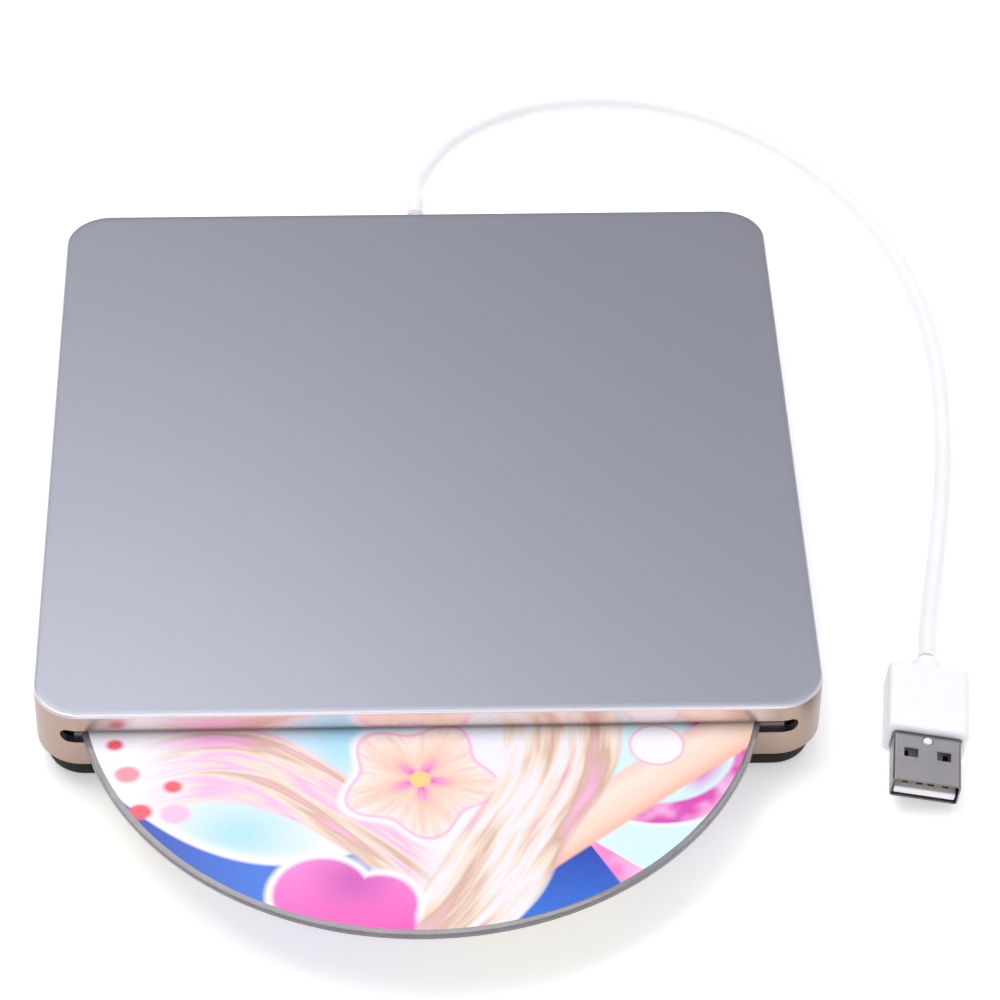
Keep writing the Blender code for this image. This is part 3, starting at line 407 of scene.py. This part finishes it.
def felt():
    skin = Surface("grey_felt", roughness=0.95, Sheen_Weight=0.6, Sheen_Roughness=0.5)
    fibres = skin.noise(3500, 5, 0.75, skin.moved(scale=(1, 2, 3)), 1.5)
    skin.colour(skin.blend(skin.spread(fibres, 0.3, 0.7), (0.24, 0.19, 0.18), (0.44, 0.37, 0.36)))
    skin.bump(fibres, 0.00012, 0.9)
    return skin.material


def board():
    """Solder mask over copper tracks."""
    skin = Surface("green_board", roughness=0.35, Coat_Weight=0.3)
    brick = skin.node("ShaderNodeTexBrick")
    skin.link(skin.moved(scale=(1, 1, 1)), brick.inputs["Vector"])
    brick.inputs["Scale"].default_value = 160
    brick.inputs["Mortar Size"].default_value = 0.06
    cloud = skin.noise(400, 3, 0.6)
    tone = skin.blend(skin.spread(cloud, 0.3, 0.7), (0.012, 0.10, 0.045), (0.02, 0.15, 0.065))
    skin.colour(skin.blend(skin.math("MULTIPLY", brick.outputs["Fac"], 0.6), tone, (0.05, 0.26, 0.11)))
    skin.rough(skin.spread(cloud, 0.3, 0.7, 0.28, 0.42))
    skin.bump(brick.outputs["Fac"], 0.00003, 0.5)
    return skin.material


def vinyl(name="white_vinyl"):
    """Smooth white vinyl with faint mould flow and handling marks."""
    skin = Surface(name, Subsurface_Weight=0.15, Subsurface_Scale=0.001)
    cloud = skin.noise(120, 3, 0.5)
    grain = skin.noise(2400, 3, 0.55)
    skin.colour(skin.blend(skin.spread(cloud, 0.3, 0.7), (0.90, 0.89, 0.92), (0.87, 0.86, 0.895)))
    skin.rough(skin.spread(grain, 0.3, 0.7, 0.32, 0.46))
    skin.bump(grain, 0.000012, 0.4)
    return skin.material


def lens_glass():
    skin = Surface("lens_glass", roughness=0.04, Transmission_Weight=0.8, IOR=1.5)
    haze = skin.noise(1500, 2, 0.5)
    skin.colour(skin.blend(skin.spread(haze, 0.3, 0.7), (0.55, 0.62, 0.95), (0.62, 0.5, 0.9)))
    skin.rough(skin.spread(haze, 0.3, 0.7, 0.03, 0.08))
    return skin.material


class DiscArt(Surface):
    """Mask calls for the disc's printed design, in units of the disc's radius about its centre."""

    def __init__(self, centre, radius, name):
        super().__init__(name, Coat_Weight=0.2, Coat_Roughness=0.06, Specular_IOR_Level=0.3)
        shift = (-centre.x / radius, -centre.y / radius, 0)
        self.place = self.moved(shift=shift, scale=(1 / radius,) * 3)
        spot = self.split(self.place)
        self.u, self.v = spot["X"], spot["Y"]
        self.r = self.reach(self.u, self.v)

    def reach(self, a, b):
        squares = self.math("ADD", self.math("MULTIPLY", a, a), self.math("MULTIPLY", b, b))
        return self.math("SQRT", squares)

    def away(self, u, v, flat=1.0):
        """Distance from a point, with v stretched by flat."""
        du = self.math("SUBTRACT", self.u, u)
        dv = self.math("DIVIDE", self.math("SUBTRACT", self.v, v), flat)
        return self.reach(du, dv)

    def spot(self, u, v, size, soft=0.02, flat=1.0):
        """1 inside an ellipse, fading out over its soft edge."""
        return self.spread(self.away(u, v, flat), size - soft, size + soft, 1.0, 0.0)

    def above(self, value, limit, soft=0.015):
        return self.spread(value, limit - soft, limit + soft)

    def below(self, value, limit, soft=0.015):
        return self.spread(value, limit - soft, limit + soft, 1.0, 0.0)

    def from_curve(self, a, b, slope, bend, lift, wave=0.0, rate=3.0):
        """How far b lies above lift + slope a + bend a^2 + wave sin(rate a)."""
        line = self.math("MULTIPLY_ADD", a, slope, lift)
        line = self.math("ADD", line, self.math("MULTIPLY", self.math("MULTIPLY", a, a), bend))
        if wave:
            swing = self.math("SINE", self.math("MULTIPLY", a, rate))
            line = self.math("MULTIPLY_ADD", swing, wave, line)
        return self.math("SUBTRACT", b, line)

    def band(self, height, low, high, soft=0.02):
        """1 where the height lies between the two limits."""
        return self.math("MULTIPLY", self.above(height, low, soft), self.below(height, high, soft))

    def both(self, a, b):
        return self.math("MULTIPLY", a, b)

    def silk(self, tone, along, height, low, high, fineness, seed, colours, keep=None):
        """A ribbon of fine strands laid over the tone, its edges slightly frayed."""
        fray = 0.12
        across = self.math("MULTIPLY", height, fineness)
        spot = self.vector(self.math("MULTIPLY", along, 1.3), across, seed)
        strands = self.noise(1.0, 3, 0.58, spot)
        frayed = self.math("MULTIPLY_ADD", strands, fray, height)
        mask = self.band(frayed, fray / 2 + low, fray / 2 + high, 0.010)
        if keep:
            mask = self.both(mask, keep)
        stops = list(zip((0.30, 0.39, 0.46, 0.52, 0.59, 0.70), colours))
        return self.blend(mask, tone, self.ramp(strands, stops))


# Inks of the disc's print
WHITE = (0.86, 0.84, 0.92)
SKY = (0.42, 0.72, 0.92)
CLEAR_SKY = (0.66, 0.86, 0.93)
CREAM = (0.86, 0.71, 0.60)
PEACH = (0.93, 0.60, 0.47)
PALE_PEACH = (0.94, 0.72, 0.62)
TAN = (0.66, 0.42, 0.33)
PINK = (0.92, 0.46, 0.74)
ROSE = (0.90, 0.24, 0.60)
MAGENTA = (0.70, 0.07, 0.45)
BLUE = (0.01, 0.055, 0.44)
BRIGHT_BLUE = (0.02, 0.16, 0.70)
CORAL = (0.80, 0.08, 0.12)
BLUSH = (0.94, 0.27, 0.34)
WHITE_SPOT = (0.67, -0.30)


def print_sky(art):
    """White on the left, clear blue on the right, with two blue glows."""
    tone = art.blend(art.spread(art.u, 0.15, 0.6), WHITE, CLEAR_SKY)
    tone = art.blend(art.spot(-0.52, -0.62, 0.15, 0.12, 0.8), tone, SKY)
    return art.blend(art.spot(-0.22, -0.27, 0.15, 0.10, 0.9), tone, SKY)


def print_rings_and_rays(art, tone):
    """Rings round the white spot, and rays that reach the rim at the lower right."""
    u, v = art.u, art.v
    ring = art.away(*WHITE_SPOT)
    stripes = art.spread(art.noise(9, 2, 0.5), 0.40, 0.60)
    tone = art.blend(art.band(ring, 0.225, 0.305, 0.006), tone, art.blend(stripes, MAGENTA, PINK))
    tone = art.blend(art.band(ring, 0.305, 0.32, 0.004), tone, WHITE)
    inner = art.both(art.band(ring, 0.12, 0.19, 0.03), art.above(u, 0.76, 0.03))
    tone = art.blend(inner, tone, MAGENTA)

    ray = art.math("ARCTAN2", art.math("ADD", v, 0.64), art.math("SUBTRACT", u, 0.44))
    low_right = art.both(art.above(u, 0.20), art.below(v, -0.62, 0.01))
    shade = art.blend(art.spread(v, -0.95, -0.70), BRIGHT_BLUE, BLUE)
    rays = ((-0.66, 0.02, WHITE), (-0.69, 0.01, art.blend(stripes, ROSE, PINK)), (-1.08, 0.02, shade))
    for limit, soft, colour in rays:
        tone = art.blend(art.both(art.below(ray, limit, soft), low_right), tone, colour)
    return tone


def print_ground(art, tone):
    """Blue ground along the rim at the lower left, under a white line."""
    u, v = art.u, art.v
    ground = art.from_curve(u, v, 0.92, 1.18, -0.56)
    left = art.below(u, -0.10)
    tone = art.blend(art.both(art.below(ground, 0.03, 0.02), left), tone, WHITE)
    shade = art.blend(art.spread(u, -0.80, -0.45), BLUE, BRIGHT_BLUE)
    return art.blend(art.both(art.below(ground, 0.0, 0.006), left), tone, shade)


def print_blossom(art, tone):
    """Five petals that darken towards the heart."""
    du, dv = art.math("SUBTRACT", art.u, -0.01), art.math("SUBTRACT", art.v, -0.42)
    spin = art.math("ARCTAN2", dv, du)
    lobes = art.math("COSINE", art.math("MULTIPLY_ADD", spin, 5.0, 0.9))
    reach = art.math("MULTIPLY_ADD", lobes, -0.028, art.reach(du, dv))
    along = art.math("MULTIPLY", reach, 5.0)
    veins = art.noise(1.0, 3, 0.6, art.vector(art.math("MULTIPLY", spin, 7.0), along, 2.0))
    stops = ((0.0, MAGENTA), (0.03, ROSE), (0.08, PEACH), (0.14, PALE_PEACH))
    stops += ((0.19, (0.93, 0.78, 0.74)), (0.20, PINK))
    petal = art.ramp(reach, stops)
    petal = art.blend(art.spread(veins, 0.45, 0.62, 0.0, 0.55), petal, (0.90, 0.50, 0.46))
    tone = art.blend(art.below(reach, 0.225, 0.01), tone, WHITE)
    tone = art.blend(art.below(reach, 0.205, 0.005), tone, petal)
    return art.blend(art.below(art.reach(du, dv), 0.030, 0.004), tone, (0.93, 0.62, 0.22))


def print_satin_band(art, tone):
    """Satin band that rises to the right."""
    band = art.from_curve(art.u, art.v, 0.86, -0.06, -0.965)
    half = 0.10
    stops = ((0.0, (0.88, 0.46, 0.36)), (0.25, (0.93, 0.66, 0.54)))
    stops += ((0.7, (0.94, 0.76, 0.67)), (1.0, (0.90, 0.60, 0.55)))
    sheen = art.ramp(art.spread(band, -half, half), stops)
    mask = art.both(art.band(band, -half, half, 0.006), art.above(art.u, 0.12, 0.04))
    return art.blend(mask, tone, sheen)


def print_petals(art, tone):
    """Two hot pink petals at the foot, with a pale frill along their tops."""
    u, v = art.u, art.v
    lobes = (((-0.29, -0.85), 0.135), ((-0.13, -0.885), 0.105))
    foot = art.both(art.band(u, -0.42, -0.03, 0.01), art.below(v, -0.86, 0.01))
    hot = art.ramp(art.spread(v, -1.0, -0.72), ((0.0, (0.95, 0.06, 0.46)), (1.0, (0.88, 0.22, 0.64))))
    crease = art.spread(art.away(-0.20, -0.80), 0.02, 0.16, 1.0, 0.0)
    for extra, colour in ((0.022, WHITE), (0.0, art.blend(crease, hot, (0.62, 0.08, 0.46)))):
        shape = foot
        for place, size in lobes:
            shape = art.math("MAXIMUM", shape, art.spot(*place, size + extra, 0.008))
        tone = art.blend(shape, tone, colour)
    return tone


def print_dots(art, tone):
    """Coral dots at the upper left, and the white spot in its pink line."""
    for place, size, colour in (
        ((-0.88, -0.27), 0.024, CORAL),
        ((-0.84, -0.385), 0.036, BLUSH),
        ((-0.71, -0.435), 0.026, CORAL),
        ((-0.80, -0.53), 0.034, CORAL),
        ((-0.70, -0.54), 0.042, (0.95, 0.50, 0.72)),
    ):
        tone = art.blend(art.spot(*place, size, 0.008, 0.85), tone, colour)
    tone = art.blend(art.spot(*WHITE_SPOT, 0.080, 0.004), tone, (0.93, 0.42, 0.55))
    return art.blend(art.spot(*WHITE_SPOT, 0.074, 0.004), tone, (0.90, 0.87, 0.92))


def disc_print(centre, radius):
    """A generic design: ribbons of silk and a blossom over sky, rings, rays and blue ground."""
    art = DiscArt(centre, radius, "disc_print")
    u, v = art.u, art.v
    tone = print_ground(art, print_rings_and_rays(art, print_sky(art)))

    # Silk that sweeps in from the left
    sweep = art.from_curve(u, v, -1.25, -0.95, -0.74, 0.02, 9.0)
    part = art.both(art.below(u, 0.0, 0.05), art.above(u, -0.72, 0.10))
    inks = (PINK, TAN, CREAM, PINK, CREAM, TAN)
    tone = art.silk(tone, u, sweep, -0.17, 0.13, 9.0, 1.0, inks, part)

    tone = print_satin_band(art, print_blossom(art, tone))

    # Silk that falls from the top, over the band's lower end
    fall = art.from_curve(v, u, -0.024, -0.43, 0.43, 0.012, 12.0)
    inks = (MAGENTA, CREAM, WHITE, CREAM, TAN, PINK)
    tone = art.silk(tone, v, fall, -0.18, 0.17, 9.0, 4.0, inks)

    art.colour(print_dots(art, print_petals(art, tone)))
    dots = art.noise(420, 1, 0.4)
    art.rough(art.spread(dots, 0.3, 0.7, 0.22, 0.32))
    art.bump(dots, 0.000004, 0.3)
    return art.material


def clear_edge(name="clear_polycarbonate"):
    skin = Surface(name, roughness=0.08, Transmission_Weight=0.6, IOR=1.58)
    haze = skin.noise(300, 3, 0.5)
    skin.colour(skin.blend(skin.spread(haze, 0.3, 0.7), (0.34, 0.32, 0.34), (0.44, 0.41, 0.43)))
    skin.rough(skin.spread(haze, 0.3, 0.7, 0.06, 0.14))
    return skin.material


def data_side(centre, radius):
    """Mirror layer under clear plastic, with faint rings and a painted rainbow reflection whose colour
    turns with the angle about the centre.
    """
    disc = DiscArt(centre, radius, "disc_data_side")
    disc.shader.inputs["Metallic"].default_value = 0.95
    rings = disc.math("SINE", disc.math("MULTIPLY", disc.r, 900.0))
    # Painted rainbow reflection: the tone swings between purple and gold four times around the centre
    sweep = disc.math("SINE", disc.math("MULTIPLY", disc.math("ARCTAN2", disc.v, disc.u), 4.0))
    tone = disc.blend(disc.spread(sweep, -1, 1), (0.60, 0.55, 0.78), (0.80, 0.72, 0.50))
    disc.colour(disc.blend(disc.spread(rings, -1, 1, 0.0, 0.25), tone, (0.55, 0.75, 0.72)))
    disc.rough(disc.spread(rings, -1, 1, 0.08, 0.14))
    return disc.material


def make_materials():
    """One detailed material for each material slot of the record."""
    plastics = (
        ("grey_acetal", (0.10, 0.10, 0.105), (0.075, 0.075, 0.08), 0.4, 0.55),
        ("natural_acetal", (0.74, 0.71, 0.63), (0.66, 0.64, 0.57), 0.35, 0.5),
        ("chip_epoxy", (0.022, 0.022, 0.024), (0.03, 0.03, 0.032), 0.5, 0.65, 3500),
    )
    metals = (
        ("zinc_plated_sheet", (0.62, 0.62, 0.59), (0.50, 0.52, 0.53), 0.3, 0.5),
        ("bright_steel", (0.66, 0.66, 0.67), (0.55, 0.55, 0.57), 0.16, 0.3),
        ("motor_can", (0.55, 0.55, 0.54), (0.44, 0.44, 0.45), 0.24, 0.4, (30, 1, 1)),
        ("die_cast_zinc", (0.46, 0.46, 0.48), (0.36, 0.36, 0.38), 0.45, 0.6, (1, 1, 1)),
        ("gold_plate", (0.84, 0.60, 0.22), (0.72, 0.50, 0.18), 0.18, 0.3),
    )
    paint = {
        "satin_aluminium": satin_aluminium(),
        "grey_felt": felt(),
        "lens_glass": lens_glass(),
        "green_board": board(),
        "printed_polycarbonate": clear_edge(),
        "white_vinyl": vinyl(),
    }
    faint = {"Specular_IOR_Level": 0.1}
    dark, darker = (0.018, 0.012, 0.009), (0.011, 0.008, 0.007)
    paint["black_plastic"] = moulded("black_plastic", dark, darker, 0.5, 0.65, **faint)
    dark, worn = (0.018, 0.015, 0.014), (0.028, 0.025, 0.024)
    paint["black_rubber"] = moulded("black_rubber", dark, worn, 0.7, 0.9, 1500, 0.00006, **faint)
    for values in plastics:
        paint[values[0]] = moulded(*values)
    for values in metals:
        paint[values[0]] = worked_metal(*values)
    return paint


# Cord, plug and strain relief


def catmull(a, b, c, d, t):
    """Point at t, from 0 to 1, on the smooth curve from b to c."""
    square = 2 * a - 5 * b + 4 * c - d
    cube = 3 * b - a - 3 * c + d
    return 0.5 * (2 * b + (c - a) * t + square * t**2 + cube * t**3)


def smooth_route(points, parts):
    """The points and, between each two, further ones on one smooth curve."""
    spots = [Vector(p) for p in points]
    spots = [2 * spots[0] - spots[1]] + spots + [2 * spots[-1] - spots[-2]]
    route = []
    for a, b, c, d in zip(spots, spots[1:], spots[2:], spots[3:]):
        route += [catmull(a, b, c, d, i / parts) for i in range(parts)]
    return route + [spots[-2]]


def plug_frame():
    """World matrix of the plug: its own -Y points out of the connector."""
    turn = Matrix.Rotation(PLUG_YAW, 4, "Z") @ Matrix.Rotation(PLUG_ROLL, 4, "Y")
    return Matrix.Translation(PLUG_FRONT) @ turn


def cord(paint):
    end = plug_frame() @ Vector((0, PLUG_LENGTH + BOOT_LENGTH + 0.0003, 0))
    lowest = CORD_DIAMETER / 2 + 0.05 * MM
    route = [Vector((p.x, p.y, max(p.z, lowest))) for p in smooth_route(CORD_ROUTE + [tuple(end)], 6)]
    curve = bpy.data.curves.new("cord", "CURVE")
    curve.dimensions = "3D"
    curve.bevel_depth = CORD_DIAMETER / 2
    curve.bevel_resolution = 8
    curve.use_fill_caps = True
    spline = curve.splines.new("POLY")
    spline.points.add(len(route) - 1)
    for point, spot in zip(spline.points, route):
        point.co = (*spot, 1.0)
    spline.use_smooth = True
    curve.materials.append(paint["white_vinyl"])
    made = bpy.data.objects.new("cord", curve)
    bpy.context.scene.collection.objects.link(made)
    length = sum((q - p).length for p, q in zip(route, route[1:]))
    return made, length, tuple(route[0])


def rest_of(piece, body, slot, *nodes):
    """The calls that every new piece needs: what it rides on and what it stands for. The slot argument
    is not used.
    """
    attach(piece, body)
    if nodes:
        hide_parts(*nodes)


def strain_relief(paint):
    """Tapered sleeve with four flexing rings, and the flange that holds it in the wall."""
    low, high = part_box("strain_relief")
    centre = ((low.x + high.x) / 2, 0, (low.z + high.z) / 2)
    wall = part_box("top_shell")[1].y
    profile = [(0.0032, low.y), (0.0032, wall - WALL - 0.0003), (0.0023, wall - WALL - 0.0003)]
    profile += [(0.0023, wall + 0.0003), (0.0030, wall + 0.0003)]
    profile += [(0.0032, wall + 0.0006), (0.0032, wall + 0.0013)]
    start, end, rings = wall + 0.0017, high.y - 0.0006, 4
    pitch = (end - start) / rings
    for number in range(rings):
        radius = 0.0029 - 0.0009 * number / (rings - 1)
        at = start + number * pitch
        profile += [(radius, at), (radius - 0.0001, at + 0.62 * pitch)]
        profile += [(radius - 0.0005, at + 0.68 * pitch), (radius - 0.0005, at + 0.94 * pitch)]
    profile += [(0.0019, end), (0.0018, high.y - 0.0002), (0.0017, high.y)]
    made = finish_mesh("cord_sleeve", turned(profile, centre, "Y", 40, False), [paint["white_vinyl"]])
    rest_of(made, "case", "white_vinyl", "strain_relief")
    return made


def plug_grip(vinyl_white):
    """Overmould: rounded block with a pocket for the metal shell."""

    def section(inset, corner):
        return rounded(PLUG_WIDTH - 2 * inset, PLUG_THICK - 2 * inset, corner, 8)

    corner = 0.0012
    rings = []
    radius = 0.0008
    for step in range(5):
        angle = math.radians(90 * step / 4)
        inset = radius * (1 - math.sin(angle))
        ring = section(inset, corner - 0.5 * inset)
        rings.append(front_ring(ring, radius * (1 - math.cos(angle))))
    radius = 0.0016
    for step in range(7):
        angle = math.radians(90 * step / 6)
        ring = section(radius * (1 - math.cos(angle)), corner)
        rings.append(front_ring(ring, PLUG_LENGTH - radius + radius * math.sin(angle)))
    grip = finish_mesh("plug_grip", lofted(rings), [vinyl_white], 50)
    pocket = rounded(SHELL_WIDTH + 0.0001, SHELL_HEIGHT + 0.0001, 0.0006, 6)
    carve(grip, lofted([front_ring(pocket, y) for y in (-0.001, 0.003)]))
    return grip


def plug_boot(vinyl_white):
    """Short boot that narrows from the overmould to the cord."""
    end = PLUG_LENGTH
    profile = [(0.0033, end - 0.0012), (0.0033, end + 0.0012), (0.0031, end + 0.0018)]
    profile += [(0.0027, end + 0.0024), (0.0022, end + 0.0030), (0.0019, end + 0.0034)]
    profile.append((0.00173, end + BOOT_LENGTH))
    return finish_mesh("plug_boot", turned(profile, (0, 0, 0), "Y", 40, False), [vinyl_white], 50)


def plug_sleeve():
    """Drawn metal shell: rounded mouth, four windows with sloping rear edges, and the dimple's hole."""
    colours = (0.27, 0.26, 0.275), (0.23, 0.22, 0.235)
    steel = worked_metal("satin_steel", *colours, 0.30, 0.42, (30, 1, 1), 1400)
    wall, lip, end = 0.0003, 0.00022, 0.0026
    corner = 0.0006
    outer = rounded(SHELL_WIDTH, SHELL_HEIGHT, corner, 8)
    inner = rounded(SHELL_WIDTH - 2 * wall, SHELL_HEIGHT - 2 * wall, 0.0003, 8)
    edge = rounded(SHELL_WIDTH - 2 * lip, SHELL_HEIGHT - 2 * lip, 0.0005, 8)
    rings = [front_ring(inner, end), front_ring(inner, -SHELL_OUT + 0.00005)]
    rings.append(front_ring(edge, -SHELL_OUT))
    for step in range(1, 5):
        angle = math.radians(90 * step / 4)
        bent = lip * (1 - math.sin(angle))
        ring = rounded(SHELL_WIDTH - 2 * bent, SHELL_HEIGHT - 2 * bent, corner - 0.5 * bent, 8)
        rings.append(front_ring(ring, -SHELL_OUT + lip * (1 - math.cos(angle))))
    rings.append(front_ring(outer, end))
    sleeve = finish_mesh("plug_sleeve", lofted(rings, True), [steel], 30)

    half, past = SHELL_HEIGHT / 2, 0.0006
    for x in (-WINDOW_X, WINDOW_X):
        for z, slope in ((-half, -0.8), (half, 0.8)):
            ends = []
            for rise in (-past, past):
                length = WINDOW_LENGTH + slope * rise
                window = rounded(WINDOW_WIDTH, length, 0.0002, 4)
                middle = WINDOW_FRONT + length / 2
                ends.append([(x + u, middle + v, z + rise) for u, v in window])
            carve(sleeve, lofted(ends))
    hole = [(0.0010, half - past), (0.0010, half + past)]
    carve(sleeve, turned(hole, (0, DIMPLE_Y, 0), "Z", 24, False))
    flat = sleeve.modifiers.new("flat_sides", "WEIGHTED_NORMAL")
    flat.keep_sharp = True
    return sleeve


def plug_dimple(vinyl_white):
    """The overmould's plastic that shows through the shell's hole, and locks it."""
    half = SHELL_HEIGHT / 2
    profile = [(0.00085, half - 0.0012), (0.00085, half - 0.0001)]
    profile += [(0.00075, half + 0.00005), (0.0004, half + 0.0002)]
    mesh = turned(profile, (0, DIMPLE_Y, 0), "Z", 24, False)
    return finish_mesh("plug_dimple", mesh, [vinyl_white], 50)


def plug(paint):
    """The plug's pieces, made about its own frame and then laid at the cord's end."""
    vinyl_white = paint["white_vinyl"]
    stands_for = {
        plug_grip(vinyl_white): ("white_vinyl", "plug_overmould"),
        plug_boot(vinyl_white): ("white_vinyl",),
        plug_sleeve(): ("bright_steel", "plug_shell"),
        plug_dimple(vinyl_white): ("white_vinyl",),
    }
    for piece, (slot, *nodes) in stands_for.items():
        piece.matrix_world = plug_frame()
        rest_of(piece, "case", slot, *nodes)
    return list(stands_for)


# Case


def front_wall_edges(mesh, front):
    """Edges of the slot's mouth on the outer face of the front wall."""
    found = []
    for edge in mesh.edges:
        on_front = all(abs(v.co.y - front) < 1e-5 for v in edge.verts)
        in_slot = all(abs(v.co.z - SLOT_Z) < SLOT_HEIGHT / 2 + 1e-5 for v in edge.verts)
        if on_front and in_slot and len(edge.link_faces) == 2:
            turn = edge.link_faces[0].normal.angle(edge.link_faces[1].normal, 0.0)
            if turn > math.radians(45):
                found.append(edge)
    return found


def case_shell(paint):
    """Metal shell: rounded top edge, the slot with its broken edges, and the cord's exit."""
    low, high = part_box("top_shell")
    side = high.x - low.x
    roof = high.z - 0.0012
    edge = 0.00055
    spots = [(WALL, roof), (WALL, low.z)]
    spots += fillet(0.0003, low.z + 0.0003, 0.0003, -90, 0)
    spots += fillet(edge, high.z - edge, edge, 0, 90, 6) + [(0.0016, high.z)]
    rings = square_rings(spots, CORNER, side)
    shell = finish_mesh("case_shell", lofted(rings), [paint["satin_aluminium"]], 25)
    front = low.y
    slot = rounded(SLOT_WIDTH, SLOT_HEIGHT, SLOT_HEIGHT / 2 - 1e-6, 12)
    carve(shell, lofted([front_ring(slot, y, (0, SLOT_Z)) for y in (front - 0.001, front + 0.003)]))
    exit_z = RELIEF_END[2]
    carve(shell, turned([(0.0026, -0.003), (0.0026, 0.001)], (0, high.y, exit_z), "Y", 32, False))

    mesh = bmesh.new()
    mesh.from_mesh(shell.data)
    mesh.normal_update()
    mouth = front_wall_edges(mesh, front)
    bmesh.ops.bevel(mesh, geom=mouth, offset=0.00022, segments=3, affect="EDGES")
    mesh.normal_update()
    for face in mesh.faces:
        face.smooth = True
    mesh.to_mesh(shell.data)
    mesh.free()
    shell.data.set_sharp_from_angle(angle=math.radians(30))
    rest_of(shell, "case", "satin_aluminium", "top_shell")


def case_base(paint):
    """Lower cover: a tapered dark tray with a soft lower edge, and its rim inside the shell."""
    low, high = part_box("base_cover")
    side = high.x - low.x
    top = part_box("top_shell")[0].z - 0.0003
    rim = 0.0014
    spots = [(0.0045, low.z)]
    spots += fillet(0.0021, low.z + 0.0009, 0.0009, -90, -15, 5)
    spots += [(0.0002, top - 0.0002), (0.0002, top - 0.00005), (0.0006, top), (rim, top)]
    spots += [(rim, top + 0.0015), (rim + 0.0012, top + 0.0015), (rim + 0.0012, low.z + 0.0017)]
    mesh = lofted(square_rings(spots, 0.008, side))
    base = finish_mesh("case_base", mesh, [paint["black_plastic"]], 40)
    rest_of(base, "case", "black_plastic", "base_cover")


def foot_pad(paint):
    """Rubber pad with a soft lower edge."""
    low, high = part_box("base_pad")
    spots = [(0.0006, low.z)] + fillet(0.0003, low.z + 0.0003, 0.0003, -90, 0) + [(0.0, high.z)]
    mesh = lofted(square_rings(spots, 0.006, high.x - low.x))
    pad = finish_mesh("foot_pad", mesh, [paint["black_rubber"]])
    rest_of(pad, "case", "black_rubber", "base_pad")


def printed_disc(paint):
    """Moulded disc: printed top, clear outer rim and hub with its stacking ring, mirror underside."""
    low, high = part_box("disc")
    centre = (low + high) / 2
    outer = (high.x - low.x) / 2
    top, bottom = high.z, low.z
    soft = 0.00018
    slight = 0.3 * soft
    profile = [(DISC_HOLE, bottom + soft), (DISC_HOLE, top - soft), (DISC_HOLE + soft, top)]
    profile += [(DISC_HUB, top), (PRINT_END, top)]
    profile += [(outer - soft, top), (outer - slight, top - slight), (outer, top - soft)]
    profile += [(outer, bottom + soft), (outer - slight, bottom + slight), (outer - soft, bottom)]
    profile += [(MIRROR_END, bottom), (DISC_CLAMP, bottom), (0.0172, bottom)]
    groove = bottom + 0.00015
    profile += [(0.0170, groove), (0.0162, groove), (0.0160, bottom), (DISC_HOLE + soft, bottom)]
    surfaces = [paint["printed_polycarbonate"], disc_print(centre, outer), data_side(centre, outer)]
    mesh = turned(profile, (centre.x, centre.y, 0), "Z", 192)
    mesh.normal_update()
    for face in mesh.faces:
        spot = face.calc_center_median()
        reach = math.hypot(spot.x - centre.x, spot.y - centre.y)
        if face.normal.z > 0.9 and DISC_HUB < reach < PRINT_END:
            face.material_index = 1
        elif face.normal.z < -0.9 and DISC_CLAMP < reach < MIRROR_END:
            face.material_index = 2
    made = finish_mesh("printed_disc", mesh, surfaces, 30)
    rest_of(made, "disc", "printed_polycarbonate", "disc")


def carried_over(paint):
    """The CAD nodes that stay in sight take the detailed materials of their slots."""
    for entry in frame["record"]["subparts"]:
        node = frame["nodes"][entry["node"]]
        node.data.materials.clear()
        node.data.materials.append(paint[entry["material_slot"]])


# Floor and light


def floor():
    """Pale floor with a faint glow of its own, which keeps the shadows soft."""
    glow = {"Emission_Color": (1.0, 1.0, 1.0, 1.0), "Emission_Strength": 0.35}
    skin = Surface("floor", roughness=0.9, **glow)
    cloud = skin.noise(3, 2, 0.5)
    skin.colour(skin.blend(skin.spread(cloud, 0.3, 0.7), (0.95, 0.95, 0.95), (0.94, 0.94, 0.94)))
    half = 6.0
    mesh = bmesh.new()
    corners = [(-half, -half), (half, -half), (half, half), (-half, half)]
    mesh.faces.new([mesh.verts.new((x, y, 0.0)) for x, y in corners])
    made = finish_mesh("floor", mesh, [skin.material])


def area_light(name, place, size, power):
    """Rectangular lamp that shines on the object's middle."""
    data = bpy.data.lights.new(name, "AREA")
    data.shape = "RECTANGLE"
    data.size, data.size_y = size
    data.energy = power
    made = bpy.data.objects.new(name, data)
    made.location = place
    made.rotation_euler = (-Vector(place)).to_track_quat("-Z", "Y").to_euler()
    bpy.context.scene.collection.objects.link(made)


def lights():
    world = bpy.data.worlds.new("studio")
    world.use_nodes = True
    backdrop = world.node_tree.nodes["Background"].inputs
    backdrop["Color"].default_value = (0.97, 0.97, 1.0, 1.0)
    backdrop["Strength"].default_value = 0.60
    bpy.context.scene.world = world
    area_light("overhead", (-0.36, 0.42, 1.3), (1.3, 1.0), 12)
    area_light("side_fill", (0.75, 0.9, 1.3), (0.6, 0.6), 2.2)
    area_light("front_fill", (0.2, -1.3, 0.9), (1.2, 0.8), 3)
    bpy.context.scene.view_settings.view_transform = "Standard"


def main():
    camera()
    paint = make_materials()
    cable, length, start = cord(paint)
    rest_of(cable, "case", "white_vinyl", "usb_cord")
    sleeve = strain_relief(paint)
    on_cord = plug(paint) + [frame["nodes"]["plug_tongue"]]
    on_cord += [frame["nodes"][f"plug_contact_{number}"] for number in range(1, 5)]
    case_shell(paint)
    case_base(paint)
    foot_pad(paint)
    printed_disc(paint)
    carried_over(paint)
    floor()
    lights()


main()
